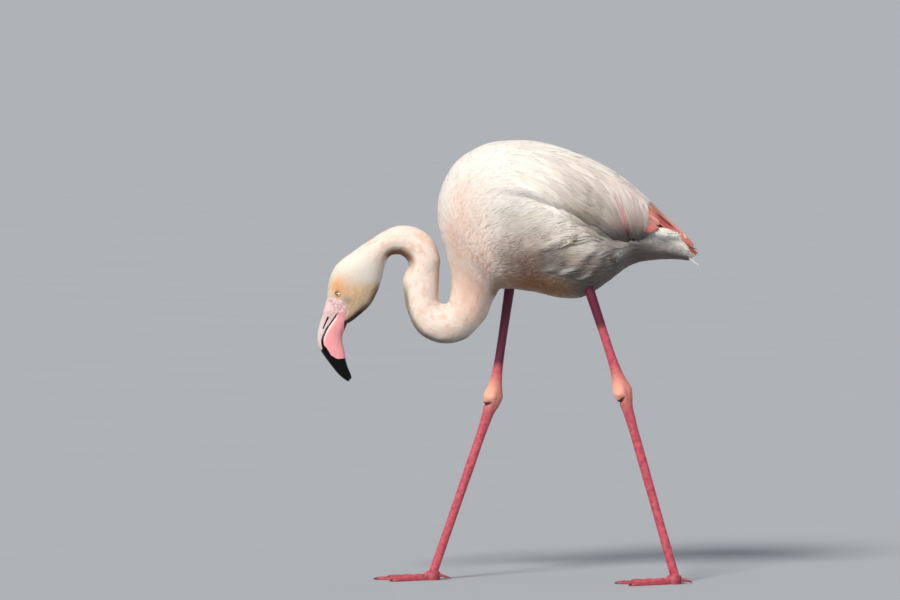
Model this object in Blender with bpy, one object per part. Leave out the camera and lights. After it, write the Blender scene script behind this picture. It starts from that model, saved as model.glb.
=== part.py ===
"""Greater flamingo, life size, standing still in a wide stride with its head lowered.

The bird faces -X, its left side is towards -Y and it stands on z = 0. Tail, trunk,
neck and head are one body, cut across by thin gaps: each cross-section joins a point
of the back line to a point of the belly line, so those two lines are its side outline.
The folded wings are shells over the trunk, and their edges follow the trunk's grid.
Tables are in millimetres, and MM turns them to metres.
"""

import math

import bmesh
import bpy
import numpy as np
from mathutils import Vector
from mathutils.bvhtree import BVHTree

MM = 0.001
GAP = 0.3 * MM

# Driving sizes
HIP_SPREAD = 30.0      # each leg leaves the belly this far from the middle
FOOT_SPREAD = 36.0     # and stands this far from it
EYE_RADIUS = 6.5
EYE_DEPTH = 4.0        # how deep the eyeball's centre lies below the cheek
WING_SHELL = 8.0       # thickness of the folded wing in its middle
WING_EDGE = 1.0
WING_CLEARANCE = 0.4
ANKLE_LENGTH = 40.0
SHANK_CLEARANCE = 0.9  # between the shank's hollowed top and the belly's facets
HUB_HEIGHT = 14.0      # height of the foot where the tarsus meets it

# Back point, belly point, half width, roundness (2 is an ellipse), and how far the
# widest place lies towards the back. From the tail forwards.
TRUNK = (
    ("tail tip", (285, 496), (276, 484), 9, 2.0, 0.0),
    ("tail", (261, 524), (250, 487), 22, 2.0, 0.0),
    ("tail root", (233, 551), (219, 486), 36, 2.0, 0.05),
    ("rump", (198, 586), (188, 480), 50, 2.1, 0.1),
    ("loin", (155, 619), (149, 453), 62, 2.2, 0.1),
    ("hips", (107, 643), (111, 430), 71, 2.3, 0.1),
    ("mid back", (59, 659), (77, 429), 76, 2.3, 0.1),
    ("saddle", (8, 664), (37, 438), 77, 2.3, 0.1),
    ("mantle", (-43, 655), (5, 442), 74, 2.3, 0.05),
    ("shoulder", (-82, 628), (-8, 442.5), 67, 2.2, 0.0),
    ("breast", (-104.5, 582), (-12, 442), 58, 2.1, 0.0),
    ("fore breast", (-105, 536), (-15, 440), 49, 2.0, 0.0),
    ("neck base", (-95, 498), (-18, 434), 41, 2.0, 0.0),
    ("neck root", (-86, 459), (-25, 421), 33, 2.0, 0.0),
)
RISE = (
    ("rise low", (-105, 448), (-157, 433), 24, 2.0, 0.0),
    ("rise high", (-104, 471), (-158, 457), 23, 2.0, 0.0),
)
HEAD = (
    ("nape", (-211, 512.5), (-184, 482), 22, 2.0, 0.0),
    ("hind crown", (-236.5, 495), (-188, 468), 24, 2.0, 0.05),
    ("crown", (-256, 480), (-191, 454.5), 25.5, 2.1, 0.1),
    ("fore crown", (-266.5, 463.5), (-198, 435), 24.5, 2.1, 0.1),
    ("brow", (-271, 447), (-209.5, 415.5), 21.5, 2.1, 0.1),
    ("lores", (-272.3, 435), (-227.5, 399), 17.5, 2.1, 0.1),
    ("bill base", (-272.6, 426), (-242.6, 388.5), 13.6, 2.1, 0.0),
)
# The neck's two turns: centre and radii of the back line and of the throat line,
# first and last angle, and half width at each end.
LOWER_TURN = dict(back=(-97, 427), back_radii=(8.5, 8.5), belly=(-100, 420), belly_radii=(67, 53),
                  angles=(-27, -160), widths=(30, 25), stations=6)
UPPER_TURN = dict(back=(-157, 481.5), back_radii=(54, 55.5), belly=(-168.4, 475.5), belly_radii=(18, 18),
                  angles=(8, 127), widths=(23, 22), stations=5)

# Bill: top ridge, gape line, lower keel, and half widths of the upper and lower bill.
BILL = (
    ((-272.6, 426), (-256.1, 405.3), (-242.6, 388.5), 13.0, 12.8),
    ((-279.4, 403.5), (-263.6, 395.5), (-246.7, 379.5), 12.6, 13.2),
    ((-285.6, 382), (-272.8, 382), (-250.7, 371.5), 12.2, 13.6),
    ((-287.2, 367), (-278.9, 367.5), (-251.4, 364.5), 11.8, 13.6),
    ((-285.4, 354.5), (-278.4, 356.5), (-250.2, 356.5), 11.4, 13.2),
    ((-278.6, 342.8), (-272.8, 347), (-247.2, 347), 10.6, 12.2),
    ((-267.5, 327.5), (-262.6, 331.2), (-244.4, 333), 8.8, 10.0),
    ((-256.1, 313.5), (-252.2, 317.2), (-241.2, 322.5), 6.8, 7.6),
    ((-245.6, 304.6), (-243.2, 308.6), (-237.6, 314), 4.4, 4.8),
    ((-239.8, 302.6), (-238.4, 304.9), (-236.0, 307.4), 1.6, 1.8),
)

# Legs: hip, ankle and foot in the side view, and the side of the body.
LEGS = {
    "left": dict(side=-1, hip=(116.6, 452), ankle=(170.5, 288), foot=(248, 14)),
    "right": dict(side=1, hip=(2.0, 452), ankle=(-23.5, 276), foot=(-114, 14)),
}
# Distance below the ankle's middle, half depth fore and aft, half width sideways.
LEG_FORM = (
    (-175, 7.9, 6.8), (-125, 7.0, 6.2), (-85, 6.6, 5.8), (-50, 7.2, 6.0), (-26, 9.2, 7.4),
    (-10, 12.0, 9.6), (1, 13.3, 10.4), (11, 12.0, 9.6), (20, 9.4, 7.8), (40, 7.7, 6.0),
    (110, 6.9, 5.2), (220, 6.5, 5.0), (300, 7.0, 5.8),
)

# Toes: angle from straight ahead (outwards is positive), length, half width at the base.
TOES = ((-28, 74, 5.0), (0, 90, 5.5), (29, 80, 5.0))
WEB_REACH = 0.84       # how far the web reaches along the toes beside it
WEB_THICKNESS = 2.0
SOLE_RADIUS = 10.0


def smooth(knots, values, t):
    """Cubic through the values at the knots, with the slope of the parabola through
    each knot and its two neighbours."""
    knots = np.asarray(knots, float)
    values = np.asarray(values, float).reshape(len(knots), -1)
    step = np.diff(knots)[:, None]
    chord = np.diff(values, axis=0) / step
    slope = np.empty_like(values)
    slope[1:-1] = (step[:-1] * chord[1:] + step[1:] * chord[:-1]) / (step[:-1] + step[1:])
    slope[0] = 2 * chord[0] - slope[1]
    slope[-1] = 2 * chord[-1] - slope[-2]
    t = np.clip(np.atleast_1d(np.asarray(t, float)), knots[0], knots[-1])
    i = np.clip(np.searchsorted(knots, t, side="right") - 1, 0, len(step) - 1)
    h = step[i]
    u = ((t - knots[i])[:, None]) / h
    return ((1 + 2 * u) * (1 - u) ** 2 * values[i] + u * (1 - u) ** 2 * h * slope[i]
            + u * u * (3 - 2 * u) * values[i + 1] + u * u * (u - 1) * h * slope[i + 1])


def turn_stations(turn):
    """Cross-sections that fan round one bend of the neck, between two arcs."""
    rows = []
    for k in range(turn["stations"]):
        f = k / (turn["stations"] - 1)
        angle = math.radians(turn["angles"][0] * (1 - f) + turn["angles"][1] * f)
        row = [f"turn {k}"]
        for line in ("back", "belly"):
            first, last = turn[line + "_radii"]
            radius = first * (1 - f) + last * f
            centre = turn[line]
            row.append((centre[0] + radius * math.cos(angle), centre[1] + radius * math.sin(angle)))
        row += [turn["widths"][0] * (1 - f) + turn["widths"][1] * f, 2.0, 0.0]
        rows.append(tuple(row))
    return rows


STATIONS = list(TRUNK) + turn_stations(LOWER_TURN) + list(RISE) + turn_stations(UPPER_TURN) + list(HEAD)
NAMES = [row[0] for row in STATIONS]
BACK = np.array([row[1] for row in STATIONS]) * MM
BELLY = np.array([row[2] for row in STATIONS]) * MM
FORM = np.array([(row[3] * MM, row[4], row[5]) for row in STATIONS])
PLACE = np.concatenate([[0.0], np.cumsum(0.5 * (np.linalg.norm(np.diff(BACK, axis=0), axis=1)
                                                + np.linalg.norm(np.diff(BELLY, axis=0), axis=1)))])


def place(name):
    """Distance of a named cross-section along the body."""
    return PLACE[NAMES.index(name)]


def body_point(t, angle):
    """Point of the body's surface. t is the distance along the body and angle runs from
    the back (0) over the left side to the belly (pi)."""
    back = smooth(PLACE, BACK, t)
    belly = smooth(PLACE, BELLY, t)
    half_width, roundness, egg = smooth(PLACE, FORM, t).T
    middle = (back + belly) / 2
    arm = (back - belly) / 2
    c, s = np.cos(angle), np.sin(angle)
    up = np.sign(c) * np.abs(c) ** (2 / roundness)
    out = np.sign(s) * np.abs(s) ** (2 / roundness) * half_width * (1 + egg * c)
    return np.stack([middle[:, 0] + arm[:, 0] * up, -out, middle[:, 1] + arm[:, 1] * up], axis=1)


def body_normal(t, angle):
    """Outward normal of the body's surface."""
    dt, da = 0.5 * MM, 0.01
    along = body_point(t + dt, angle) - body_point(t - dt, angle)
    around = body_point(t, angle + da) - body_point(t, angle - da)
    normal = np.cross(along, around)
    return normal / np.linalg.norm(normal, axis=1)[:, None]


def section_normal(t):
    """Unit normal of a cross-section's plane, pointing towards the head."""
    arm = (smooth(PLACE, BACK, t) - smooth(PLACE, BELLY, t))[0]
    normal = np.array([-arm[1], 0.0, arm[0]])
    return normal / np.linalg.norm(normal)


def new_object(name, vertices, faces, colour, roughness):
    """Mesh object with its faces pointing out and its own plain material, shaded smooth."""
    shape = bmesh.new()
    corners = [shape.verts.new(v) for v in vertices]
    for face in faces:
        shape.faces.new([corners[i] for i in face])
    if shape.calc_volume(signed=True) < 0:
        bmesh.ops.reverse_faces(shape, faces=shape.faces)
    mesh = bpy.data.meshes.new(name)
    shape.to_mesh(mesh)
    shape.free()
    mesh.shade_smooth()
    mesh.set_sharp_from_angle(angle=math.radians(40))
    material = bpy.data.materials.new(name)
    material.use_nodes = True
    shader = material.node_tree.nodes["Principled BSDF"]
    shader.inputs["Base Color"].default_value = (*colour, 1)
    shader.inputs["Roughness"].default_value = roughness
    shader.inputs["Metallic"].default_value = 0.0
    mesh.materials.append(material)
    obj = bpy.data.objects.new(name, mesh)
    bpy.context.collection.objects.link(obj)
    return obj


def ring_faces(rows, around):
    """Triangles of a tube whose rows of points run round it, with flat ends. The two
    sides are mirror images, so the diagonals turn round half way."""
    faces = []
    for i in range(rows - 1):
        for j in range(around):
            k = (j + 1) % around
            a, b = i * around + j, i * around + k
            c, d = a + around, b + around
            faces += [(a, c, d), (a, d, b)] if j < around // 2 else [(a, c, b), (b, c, d)]
    faces.append(tuple(range(around)))
    faces.append(tuple(reversed(range((rows - 1) * around, rows * around))))
    return faces


# Body: tail, trunk, neck lengths and head

WHITE = (0.86, 0.74, 0.66)
PINK = (0.85, 0.42, 0.38)
CORAL = (0.84, 0.22, 0.20)
BLACK = (0.02, 0.017, 0.018)

WING_FRONT = place("shoulder") - 18 * MM
WING_TOP = ((0.0, 30), (place("tail root"), 11), (place("hips"), 9), (place("mantle"), 34),
            (place("shoulder"), 44), (place("fore breast"), 45), (PLACE[-1], 45))
WING_BOTTOM = ((0.0, 60), (place("tail"), 62), (place("tail root"), 92), (place("rump"), 106),
               (place("loin"), 104), (place("hips"), 90), (place("mid back"), 84),
               (place("mantle"), 74), (place("fore breast"), 80), (PLACE[-1], 90))


def table_at(table, t):
    """Reads a table of (place, degrees) as radians, on a straight line between rows."""
    places, degrees = zip(*table)
    return np.radians(np.interp(t, places, degrees))


def trunk_angles(t):
    """Angles of the trunk's grid lines on one side: 3 strips over the back, 8 under the
    wing and 5 over the belly, so that a line follows each edge of the folded wing."""
    top, bottom = table_at(WING_TOP, t), table_at(WING_BOTTOM, t)
    return np.concatenate([np.linspace(0, top, 4), np.linspace(top, bottom, 9)[1:],
                           np.linspace(bottom, math.pi, 6)[1:]])


def ring(t, side_angles):
    """One cross-section, as points round it."""
    angles = np.concatenate([side_angles, 2 * math.pi - side_angles[-2:0:-1]])
    return body_point(np.full(len(angles), t), angles)


def body_length(name, places, angles_at, colour):
    """One length of the body, between the first and last of its places. Its ends stand
    back from the cutting planes by half a gap."""
    rings = [ring(t, angles_at(t)) for t in places]
    if places[0] > 0:
        rings[0] = rings[0] + section_normal(places[0]) * GAP / 2
    if places[-1] < PLACE[-1]:
        rings[-1] = rings[-1] - section_normal(places[-1]) * GAP / 2
    around = len(rings[0])
    return new_object(name, np.concatenate(rings), ring_faces(len(rings), around), colour, 0.85)


def even(side_points):
    """Evenly spaced grid lines, for the round neck and the head."""
    return lambda t: np.linspace(0, math.pi, side_points)


def rows_between(start, end, count):
    return np.linspace(start, end, count)


for scene_object in list(bpy.data.objects):
    bpy.data.objects.remove(scene_object, do_unlink=True)

TAIL_ROOT = place("tail root")
NECK_ROOT = place("neck root")
RISE_LOW = place("rise low")
ARCH = PLACE[NAMES.index("rise high") + 2]
NAPE = place("nape")

TAIL_ROWS = rows_between(0.0, TAIL_ROOT, 6)
TRUNK_ROWS = rows_between(TAIL_ROOT, NECK_ROOT, 25)
body_length("tail", TAIL_ROWS, trunk_angles, WHITE)
trunk = body_length("trunk", TRUNK_ROWS, trunk_angles, WHITE)
body_length("neck_lower", rows_between(NECK_ROOT, RISE_LOW, 11), even(12), WHITE)
body_length("neck_middle", rows_between(RISE_LOW, ARCH, 6), even(12), WHITE)
body_length("neck_upper", rows_between(ARCH, NAPE, 9), even(12), WHITE)
head = body_length("head", rows_between(NAPE, PLACE[-1], 13), even(13), WHITE)


# Folded wings: a shell over the trunk's side, and the coral flight feathers behind it

def step(x):
    """Smooth step from 0 to 1."""
    x = np.clip(x, 0, 1)
    return x * x * (3 - 2 * x)


def wing_shell(name, side, rows, front_edge, rear_edge, colour):
    """Closed shell over the strips of the trunk's grid that lie under the wing. It is
    thickest in the middle and thin all round, and its lower edge is the steepest."""
    inner, outer = [], []
    for k, t in enumerate(rows):
        angles = trunk_angles(t)[3:12]
        base = body_point(np.full(9, t), angles)
        normal = body_normal(np.full(9, t), angles)
        v = np.linspace(0, 1, 9)
        u = np.clip((WING_FRONT - t) / WING_FRONT, 0, 1)
        swell = step(v / 0.4) * step((1 - v) / 0.14) * step(u / 0.22) * (0.3 + 0.7 * step((1 - u) / 0.3))
        thickness = (WING_EDGE + (WING_SHELL - WING_EDGE) * swell) * MM
        shift = np.zeros(3)
        if k == 0 and rear_edge:
            shift = section_normal(t) * GAP / 2
        if k == len(rows) - 1 and front_edge:
            shift = -section_normal(t) * GAP / 2
        inner.append(base + normal * WING_CLEARANCE * MM + shift)
        outer.append(base + normal * (WING_CLEARANCE * MM + thickness[:, None]) + shift)
    points = np.concatenate(inner + outer)
    across = 9
    count = len(rows) * across
    faces = []
    for i in range(len(rows) - 1):
        for j in range(across - 1):
            a, b = i * across + j, i * across + j + 1
            c, d = a + across, b + across
            faces += [(a, d, c), (a, b, d)]
            faces += [(count + a, count + c, count + d), (count + a, count + d, count + b)]
    rim = ([i for i in range(across)] + [i * across + across - 1 for i in range(1, len(rows))]
           + [count - 1 - i for i in range(1, across)] + [i * across for i in range(len(rows) - 2, 0, -1)])
    for a, b in zip(rim, rim[1:] + rim[:1]):
        faces += [(a, count + a, count + b), (a, count + b, b)]
    if side > 0:
        points = points * np.array([1, -1, 1])
    return new_object(name, points, faces, colour, 0.75)


wing_rows = np.concatenate([TAIL_ROWS[:-1], TRUNK_ROWS[TRUNK_ROWS < WING_FRONT]])
for side_name, side in (("left", -1), ("right", 1)):
    split = len(TAIL_ROWS) + 1
    wing_shell(f"flight_feathers_{side_name}", side, wing_rows[:split], True, False, CORAL)
    wing_shell(f"wing_{side_name}", side, wing_rows[split - 1:], False, True, WHITE)


# Eyes, each a ball in a socket cut in the head

def eye_place():
    """Centre of the left eye: on the cheek behind the bill, then inwards."""
    t = place("brow") + 0.30 * (place("lores") - place("brow"))
    angle = math.radians(63)
    surface = body_point(np.array([t]), np.array([angle]))[0]
    normal = body_normal(np.array([t]), np.array([angle]))[0]
    return surface - normal * EYE_DEPTH * MM


def ball(name, centre, radius, colour):
    shape = bmesh.new()
    bmesh.ops.create_uvsphere(shape, u_segments=14, v_segments=10, radius=radius)
    bmesh.ops.rotate(shape, cent=(0, 0, 0), matrix=Vector((0, 0, 1)).rotation_difference(
        Vector((0, 1, 0))).to_matrix(), verts=shape.verts)
    bmesh.ops.translate(shape, vec=centre, verts=shape.verts)
    points = [v.co.copy() for v in shape.verts]
    faces = [[v.index for v in f.verts] for f in shape.faces]
    shape.free()
    return new_object(name, points, faces, colour, 0.1)


left_eye = eye_place()
for side_name, side in (("left", -1), ("right", 1)):
    centre = Vector((left_eye[0], -side * left_eye[1], left_eye[2]))
    ball(f"eye_{side_name}", centre, EYE_RADIUS * MM, (0.62, 0.48, 0.16))
    socket = ball(f"socket_{side_name}", centre, EYE_RADIUS * MM + GAP, WHITE)
    socket.hide_render = True
    socket.display_type = "WIRE"
    cut = head.modifiers.new(f"socket_{side_name}", "BOOLEAN")
    cut.operation = "DIFFERENCE"
    cut.object = socket


# Bill: upper and lower, each with a flat face along the gape

def bill_half(name, edge_column, width_column, sign, colour):
    """Half of the bill: an arched cross-section on the gape line, carried along it.
    The flat underside stands back from the gape by half a gap."""
    places = np.arange(len(BILL), dtype=float)
    ridge = np.array([row[edge_column] for row in BILL]) * MM
    gape = np.array([row[1] for row in BILL]) * MM
    width = np.array([row[width_column] for row in BILL]) * MM
    t = np.linspace(0, len(BILL) - 1, 22)
    ridge, gape = smooth(places, ridge, t), smooth(places, gape, t)
    width = smooth(places, width, t)[:, 0]
    arch = np.linspace(0, math.pi, 11)
    rings = []
    for k in range(len(t)):
        arm = ridge[k] - gape[k]
        foot = gape[k] + arm / np.linalg.norm(arm) * GAP / 2
        rise = np.sin(arch) ** 0.75
        out = np.cos(arch) * width[k] * sign
        rings.append(np.stack([foot[0] + (ridge[k] - foot)[0] * rise, out,
                               foot[1] + (ridge[k] - foot)[1] * rise], axis=1))
    base = (BELLY[-1] - BACK[-1]) / np.linalg.norm(BELLY[-1] - BACK[-1])
    rings = np.array(rings)
    rings[0] += np.array([base[1], 0, -base[0]]) * GAP
    return new_object(name, rings.reshape(-1, 3), ring_faces(len(t), len(arch)), colour, 0.35)


bill_half("bill_upper", 0, 3, 1, (0.86, 0.62, 0.58))
bill_half("bill_lower", 2, 4, -1, (0.86, 0.33, 0.32))


# Legs: shank, ankle and tarsus on one path, and webbed feet

def leg_path(leg, below):
    """Point of the leg's middle line at each distance below the ankle, and the unit
    direction down it. The shank and the tarsus meet in a short round bend."""
    side = leg["side"]
    ankle = np.array([leg["ankle"][0], side * (HIP_SPREAD + FOOT_SPREAD) / 2, leg["ankle"][1]])
    hip = np.array([leg["hip"][0], side * HIP_SPREAD, leg["hip"][1]])
    foot = np.array([leg["foot"][0], side * FOOT_SPREAD, leg["foot"][1]])
    upper = (ankle - hip) / np.linalg.norm(ankle - hip)
    lower = (foot - ankle) / np.linalg.norm(foot - ankle)
    bend = 14.0
    below = np.atleast_1d(below)[:, None]
    spread = np.sqrt(below ** 2 + bend ** 2)
    points = ankle + upper * (below - spread) / 2 + lower * (below + spread) / 2
    points -= (lower - upper) * bend / 2
    direction = upper * (1 - below / spread) / 2 + lower * (1 + below / spread) / 2
    return points * MM, direction / np.linalg.norm(direction, axis=1)[:, None]


def leg_rings(leg, below, around=14):
    """Oval cross-sections of the leg at each distance below the ankle."""
    places, depth, width = zip(*LEG_FORM)
    middle, direction = leg_path(leg, below)
    depth, width = smooth(places, np.stack([depth, width], axis=1), below).T * MM
    across = np.cross(direction, np.array([0.0, 1.0, 0.0]))
    across /= np.linalg.norm(across, axis=1)[:, None]
    sideways = np.cross(across, direction)
    angles = np.linspace(0, 2 * math.pi, around, endpoint=False)
    return (middle[:, None, :] + across[:, None, :] * (depth[:, None] * np.cos(angles))[:, :, None]
            + sideways[:, None, :] * (width[:, None] * np.sin(angles))[:, :, None])


def leg_length(name, leg, below, colour):
    """One length of the leg, its ends half a gap short of the cutting planes."""
    rings = leg_rings(leg, below)
    direction = leg_path(leg, below)[1]
    rings[0] += direction[0] * GAP / 2
    rings[-1] -= direction[-1] * GAP / 2
    faces = ring_faces(len(rings), rings.shape[1])
    return new_object(name, rings.reshape(-1, 3), faces, colour, 0.5)


def cope(start, towards, tree):
    """Point on the line from start that stands just clear of the body it runs into."""
    up = (Vector(towards) - Vector(start)).normalized()
    return np.array(tree.ray_cast(Vector(start), up)[0] - up * SHANK_CLEARANCE * MM)


bpy.context.view_layer.update()
TRUNK_TREE = BVHTree.FromObject(trunk, bpy.context.evaluated_depsgraph_get())
for side_name, leg in LEGS.items():
    shank_top = -np.linalg.norm(np.subtract(leg["hip"], leg["ankle"]))
    leg_span = np.linalg.norm(np.subtract(leg["foot"], leg["ankle"]))
    below = np.concatenate([[shank_top, shank_top + 32], np.linspace(-110, -ANKLE_LENGTH / 2, 6)])
    rings = leg_rings(leg, below)
    around = rings.shape[1]
    top = cope(rings[1].mean(axis=0), rings[0].mean(axis=0), TRUNK_TREE)
    rings[0] = [cope(start, towards, TRUNK_TREE) for start, towards in zip(rings[1], rings[0])]
    rings[-1] -= leg_path(leg, below)[1][-1] * GAP / 2
    faces = ring_faces(len(rings), around)
    faces.remove(tuple(range(around)))
    apex = len(rings) * around
    faces += [(j, (j + 1) % around, apex) for j in range(around)]
    new_object(f"shank_{side_name}", np.concatenate([rings.reshape(-1, 3), [top]]), faces, PINK, 0.5)
    leg_length(f"ankle_{side_name}", leg, np.linspace(-ANKLE_LENGTH / 2, ANKLE_LENGTH / 2, 9), PINK)

    # The tarsus ends on a level face on top of the foot
    below = np.concatenate([[ANKLE_LENGTH / 2, ANKLE_LENGTH / 2 + 18], np.linspace(80, leg_span, 5)])
    rings = leg_rings(leg, below)
    rings[0] += leg_path(leg, below)[1][0] * GAP / 2
    direction = leg_path(leg, below)[1][-1]
    level = (HUB_HEIGHT * MM + GAP - rings[-1][:, 2]) / direction[2]
    rings[-1] += direction * level[:, None]
    faces = ring_faces(len(rings), around)
    new_object(f"tarsus_{side_name}", rings.reshape(-1, 3), faces, PINK, 0.5)


def foot_outline(side):
    """Edge of the webbed foot, as angles and distances round the hub. 0 is straight
    ahead and positive angles are outwards. The web is hollow between the toes."""
    angles, reach = [], []
    first, last = TOES[0], TOES[-1]
    for angle, length, half in TOES:
        tip = math.degrees(0.55 * half / length)
        if angles:
            web_angle = (angles[-1] + angle - tip) / 2
            web = WEB_REACH * (previous + length) / 2
            for f, hollow in ((0.3, 0.97), (0.5, 0.92), (0.7, 0.97)):
                start = angles[-1] if f == 0.3 else start
                angles.append(start + (angle - tip * 2 - start) * f)
                reach.append(web * hollow / 0.97)
        angles += [angle - tip * 1.6, angle - tip, angle, angle + tip, angle + tip * 1.6]
        reach += [length * 0.86, length * 0.95, length, length * 0.95, length * 0.86]
        previous = length
    edge = math.degrees(last[2] / 26.0)
    tail_angles = [last[0] + edge * 0.55, last[0] + edge, last[0] + edge * 2.6]
    tail_reach = [48, 27, 15]
    lead_angles = [first[0] - edge * 2.6, first[0] - edge, first[0] - edge * 0.55]
    lead_reach = [15, 27, 46]
    back_angles = np.linspace(last[0] + edge * 2.6, 360 + first[0] - edge * 2.6, 11)[1:-1]
    angles = np.array(lead_angles + angles + tail_angles + list(back_angles))
    reach = np.array(lead_reach + reach + tail_reach + [SOLE_RADIUS] * len(back_angles))
    return np.radians(angles), reach


def foot_height(x, y):
    """Height of the foot over a point x ahead of the hub and y outwards: the domed hub,
    a round ridge along each toe that sinks towards its tip, and the web."""
    r = np.hypot(x, y)
    height = np.full_like(r, WEB_THICKNESS)
    for angle, length, half in TOES:
        a = math.radians(angle)
        along = x * math.cos(a) + y * math.sin(a)
        aside = np.abs(-x * math.sin(a) + y * math.cos(a))
        f = np.clip(along / length, 0, 1)
        ridge = (9.5 - 5.0 * f) * np.sqrt(np.clip(1 - (aside / (half * (1.15 - 0.4 * f))) ** 2, 0, 1))
        height = np.maximum(height, ridge)
    hub = HUB_HEIGHT * (1 - step((r - 7.6) / 12)) + 3 * step((r - 7.6) / 12)
    return np.maximum(height, hub)


def foot(name, leg, colour):
    """Webbed foot with a flat sole: a height over an outline, closed by the sole."""
    side = leg["side"]
    angles, reach = foot_outline(side)
    hub_rings = (7.6, SOLE_RADIUS * 0.95)
    shares = (0.16, 0.36, 0.58, 0.8, 1.0)
    points = [(0.0, 0.0, HUB_HEIGHT)]
    for radius in hub_rings:
        x, y = radius * np.cos(angles), radius * np.sin(angles)
        points += list(zip(x, y, foot_height(x, y)))
    inner = hub_rings[-1]
    for share in shares:
        radius = inner + (reach - inner) * share
        x, y = radius * np.cos(angles), radius * np.sin(angles)
        height = foot_height(x, y)
        if share == 1.0:
            height = np.minimum(height, np.where(reach > 30, 2.6, 4.5))
        points += list(zip(x, y, height))
    x, y = reach * np.cos(angles), reach * np.sin(angles)
    points += [(a, b, 0.0) for a, b in zip(x, y)]
    n = len(angles)
    rows = len(hub_rings) + len(shares) + 1
    faces = [(0, 1 + j, 1 + (j + 1) % n) for j in range(n)]
    for i in range(rows - 1):
        for j in range(n):
            k = (j + 1) % n
            a, b = 1 + i * n + j, 1 + i * n + k
            faces += [(a, a + n, b + n), (a, b + n, b)]
    faces.append(tuple(reversed(range(1 + (rows - 1) * n, 1 + rows * n))))
    points = np.array(points)
    ahead, outwards, height = points.T
    placed = np.stack([leg["foot"][0] - ahead, side * (FOOT_SPREAD + outwards), height], axis=1) * MM
    return new_object(name, placed, faces, colour, 0.5)


def hind_toe(name, leg, colour):
    """The small raised toe behind the hub: a cone that ends above the floor."""
    middle = np.array([(SOLE_RADIUS + 0.5, 8.0), (SOLE_RADIUS + 6, 7.2), (SOLE_RADIUS + 12, 5.2), (SOLE_RADIUS + 17, 2.8)])
    radii = (2.6, 2.4, 1.9, 0.8)
    angles = np.linspace(0, 2 * math.pi, 8, endpoint=False)
    rings = [np.stack([np.full(8, leg["foot"][0] + behind), leg["side"] * FOOT_SPREAD + radius * np.cos(angles),
                       height + radius * np.sin(angles)], axis=1) for (behind, height), radius in zip(middle, radii)]
    return new_object(name, np.concatenate(rings) * MM, ring_faces(len(rings), 8), colour, 0.5)


for side_name, leg in LEGS.items():
    foot(f"foot_{side_name}", leg, PINK)
    hind_toe(f"hind_toe_{side_name}", leg, PINK)
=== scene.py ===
"""Greater flamingo, life size, standing still in a wide stride with its head lowered.

The bird faces -X, its left side is towards -Y and it stands on z = 0. The looks go over
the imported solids: one skin under the whole coat, feathers laid on it one by one, eyes
with lids, a horn bill and scaled legs. Tables are in millimetres, and MM turns them to
metres.
"""

import math

import bpy
import numpy as np
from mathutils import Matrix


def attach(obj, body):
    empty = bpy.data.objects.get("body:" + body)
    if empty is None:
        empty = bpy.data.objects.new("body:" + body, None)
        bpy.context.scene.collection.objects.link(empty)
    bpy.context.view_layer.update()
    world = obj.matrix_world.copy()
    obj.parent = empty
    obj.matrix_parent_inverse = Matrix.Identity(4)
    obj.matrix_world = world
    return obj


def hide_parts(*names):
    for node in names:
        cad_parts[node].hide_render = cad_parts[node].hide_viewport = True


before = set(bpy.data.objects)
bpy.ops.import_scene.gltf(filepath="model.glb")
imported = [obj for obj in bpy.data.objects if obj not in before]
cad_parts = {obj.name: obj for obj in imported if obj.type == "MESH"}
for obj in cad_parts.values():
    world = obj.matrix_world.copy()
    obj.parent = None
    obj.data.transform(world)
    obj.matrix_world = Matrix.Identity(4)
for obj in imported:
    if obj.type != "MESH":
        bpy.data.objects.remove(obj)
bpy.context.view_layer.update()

MM = 0.001


# Studio: a wide floor of pale matt lino, one large soft lamp high on the left, a weak
# lamp low in front and an even pale sky, so nothing but the bird carries detail.

def linear(hex_colour):
    """sRGB hex colour as linear light: each channel over 12.92 up to 0.04045, and
    ((c + 0.055) / 1.055) ^ 2.4 above it."""
    channels = [int(hex_colour[i:i + 2], 16) / 255 for i in (1, 3, 5)]
    return tuple(c / 12.92 if c <= 0.04045 else ((c + 0.055) / 1.055) ** 2.4 for c in channels)


def add(material, kind, inputs=(), **settings):
    """Adds a node, or finds the shader that is there. settings are its own properties,
    and inputs are numbers, sRGB hex colours or the outputs that feed its sockets."""
    nodes = material.node_tree.nodes
    new = nodes[kind] if kind in nodes else nodes.new(kind)
    for key, value in settings.items():
        setattr(new, key, value)
    for key, value in dict(inputs).items():
        if isinstance(value, bpy.types.NodeSocket):
            material.node_tree.links.new(value, new.inputs[key])
        elif isinstance(value, str):
            new.inputs[key].default_value = (*linear(value), 1)
        else:
            new.inputs[key].default_value = value
    return new


def new_material(name):
    """Material with one Principled shader."""
    material = bpy.data.materials.new(name)
    material.use_nodes = True
    return material


def mesh_object(name, points, faces, material, crease=None):
    """Object from an array of points and one of triangles, turned so that its volume is
    positive. Edges that bend more than crease degrees stay sharp."""
    points = np.asarray(points, float).reshape(-1, 3)
    faces = np.asarray(faces, int).reshape(-1, 3)
    a, b, c = (points[faces[:, i]] for i in range(3))
    if np.einsum("ij,ij->", a, np.cross(b, c)) < 0:
        faces = faces[:, ::-1]
    mesh = bpy.data.meshes.new(name)
    mesh.vertices.add(len(points))
    mesh.vertices.foreach_set("co", points.astype(np.float32).ravel())
    mesh.loops.add(faces.size)
    mesh.loops.foreach_set("vertex_index", faces.astype(np.int32).ravel())
    mesh.polygons.add(len(faces))
    mesh.polygons.foreach_set("loop_start", np.arange(0, faces.size, 3, dtype=np.int32))
    mesh.update(calc_edges=True)
    mesh.shade_smooth()
    if crease:
        mesh.set_sharp_from_angle(angle=math.radians(crease))
    mesh.materials.append(material)
    obj = bpy.data.objects.new(name, mesh)
    bpy.context.collection.objects.link(obj)
    return obj


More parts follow.
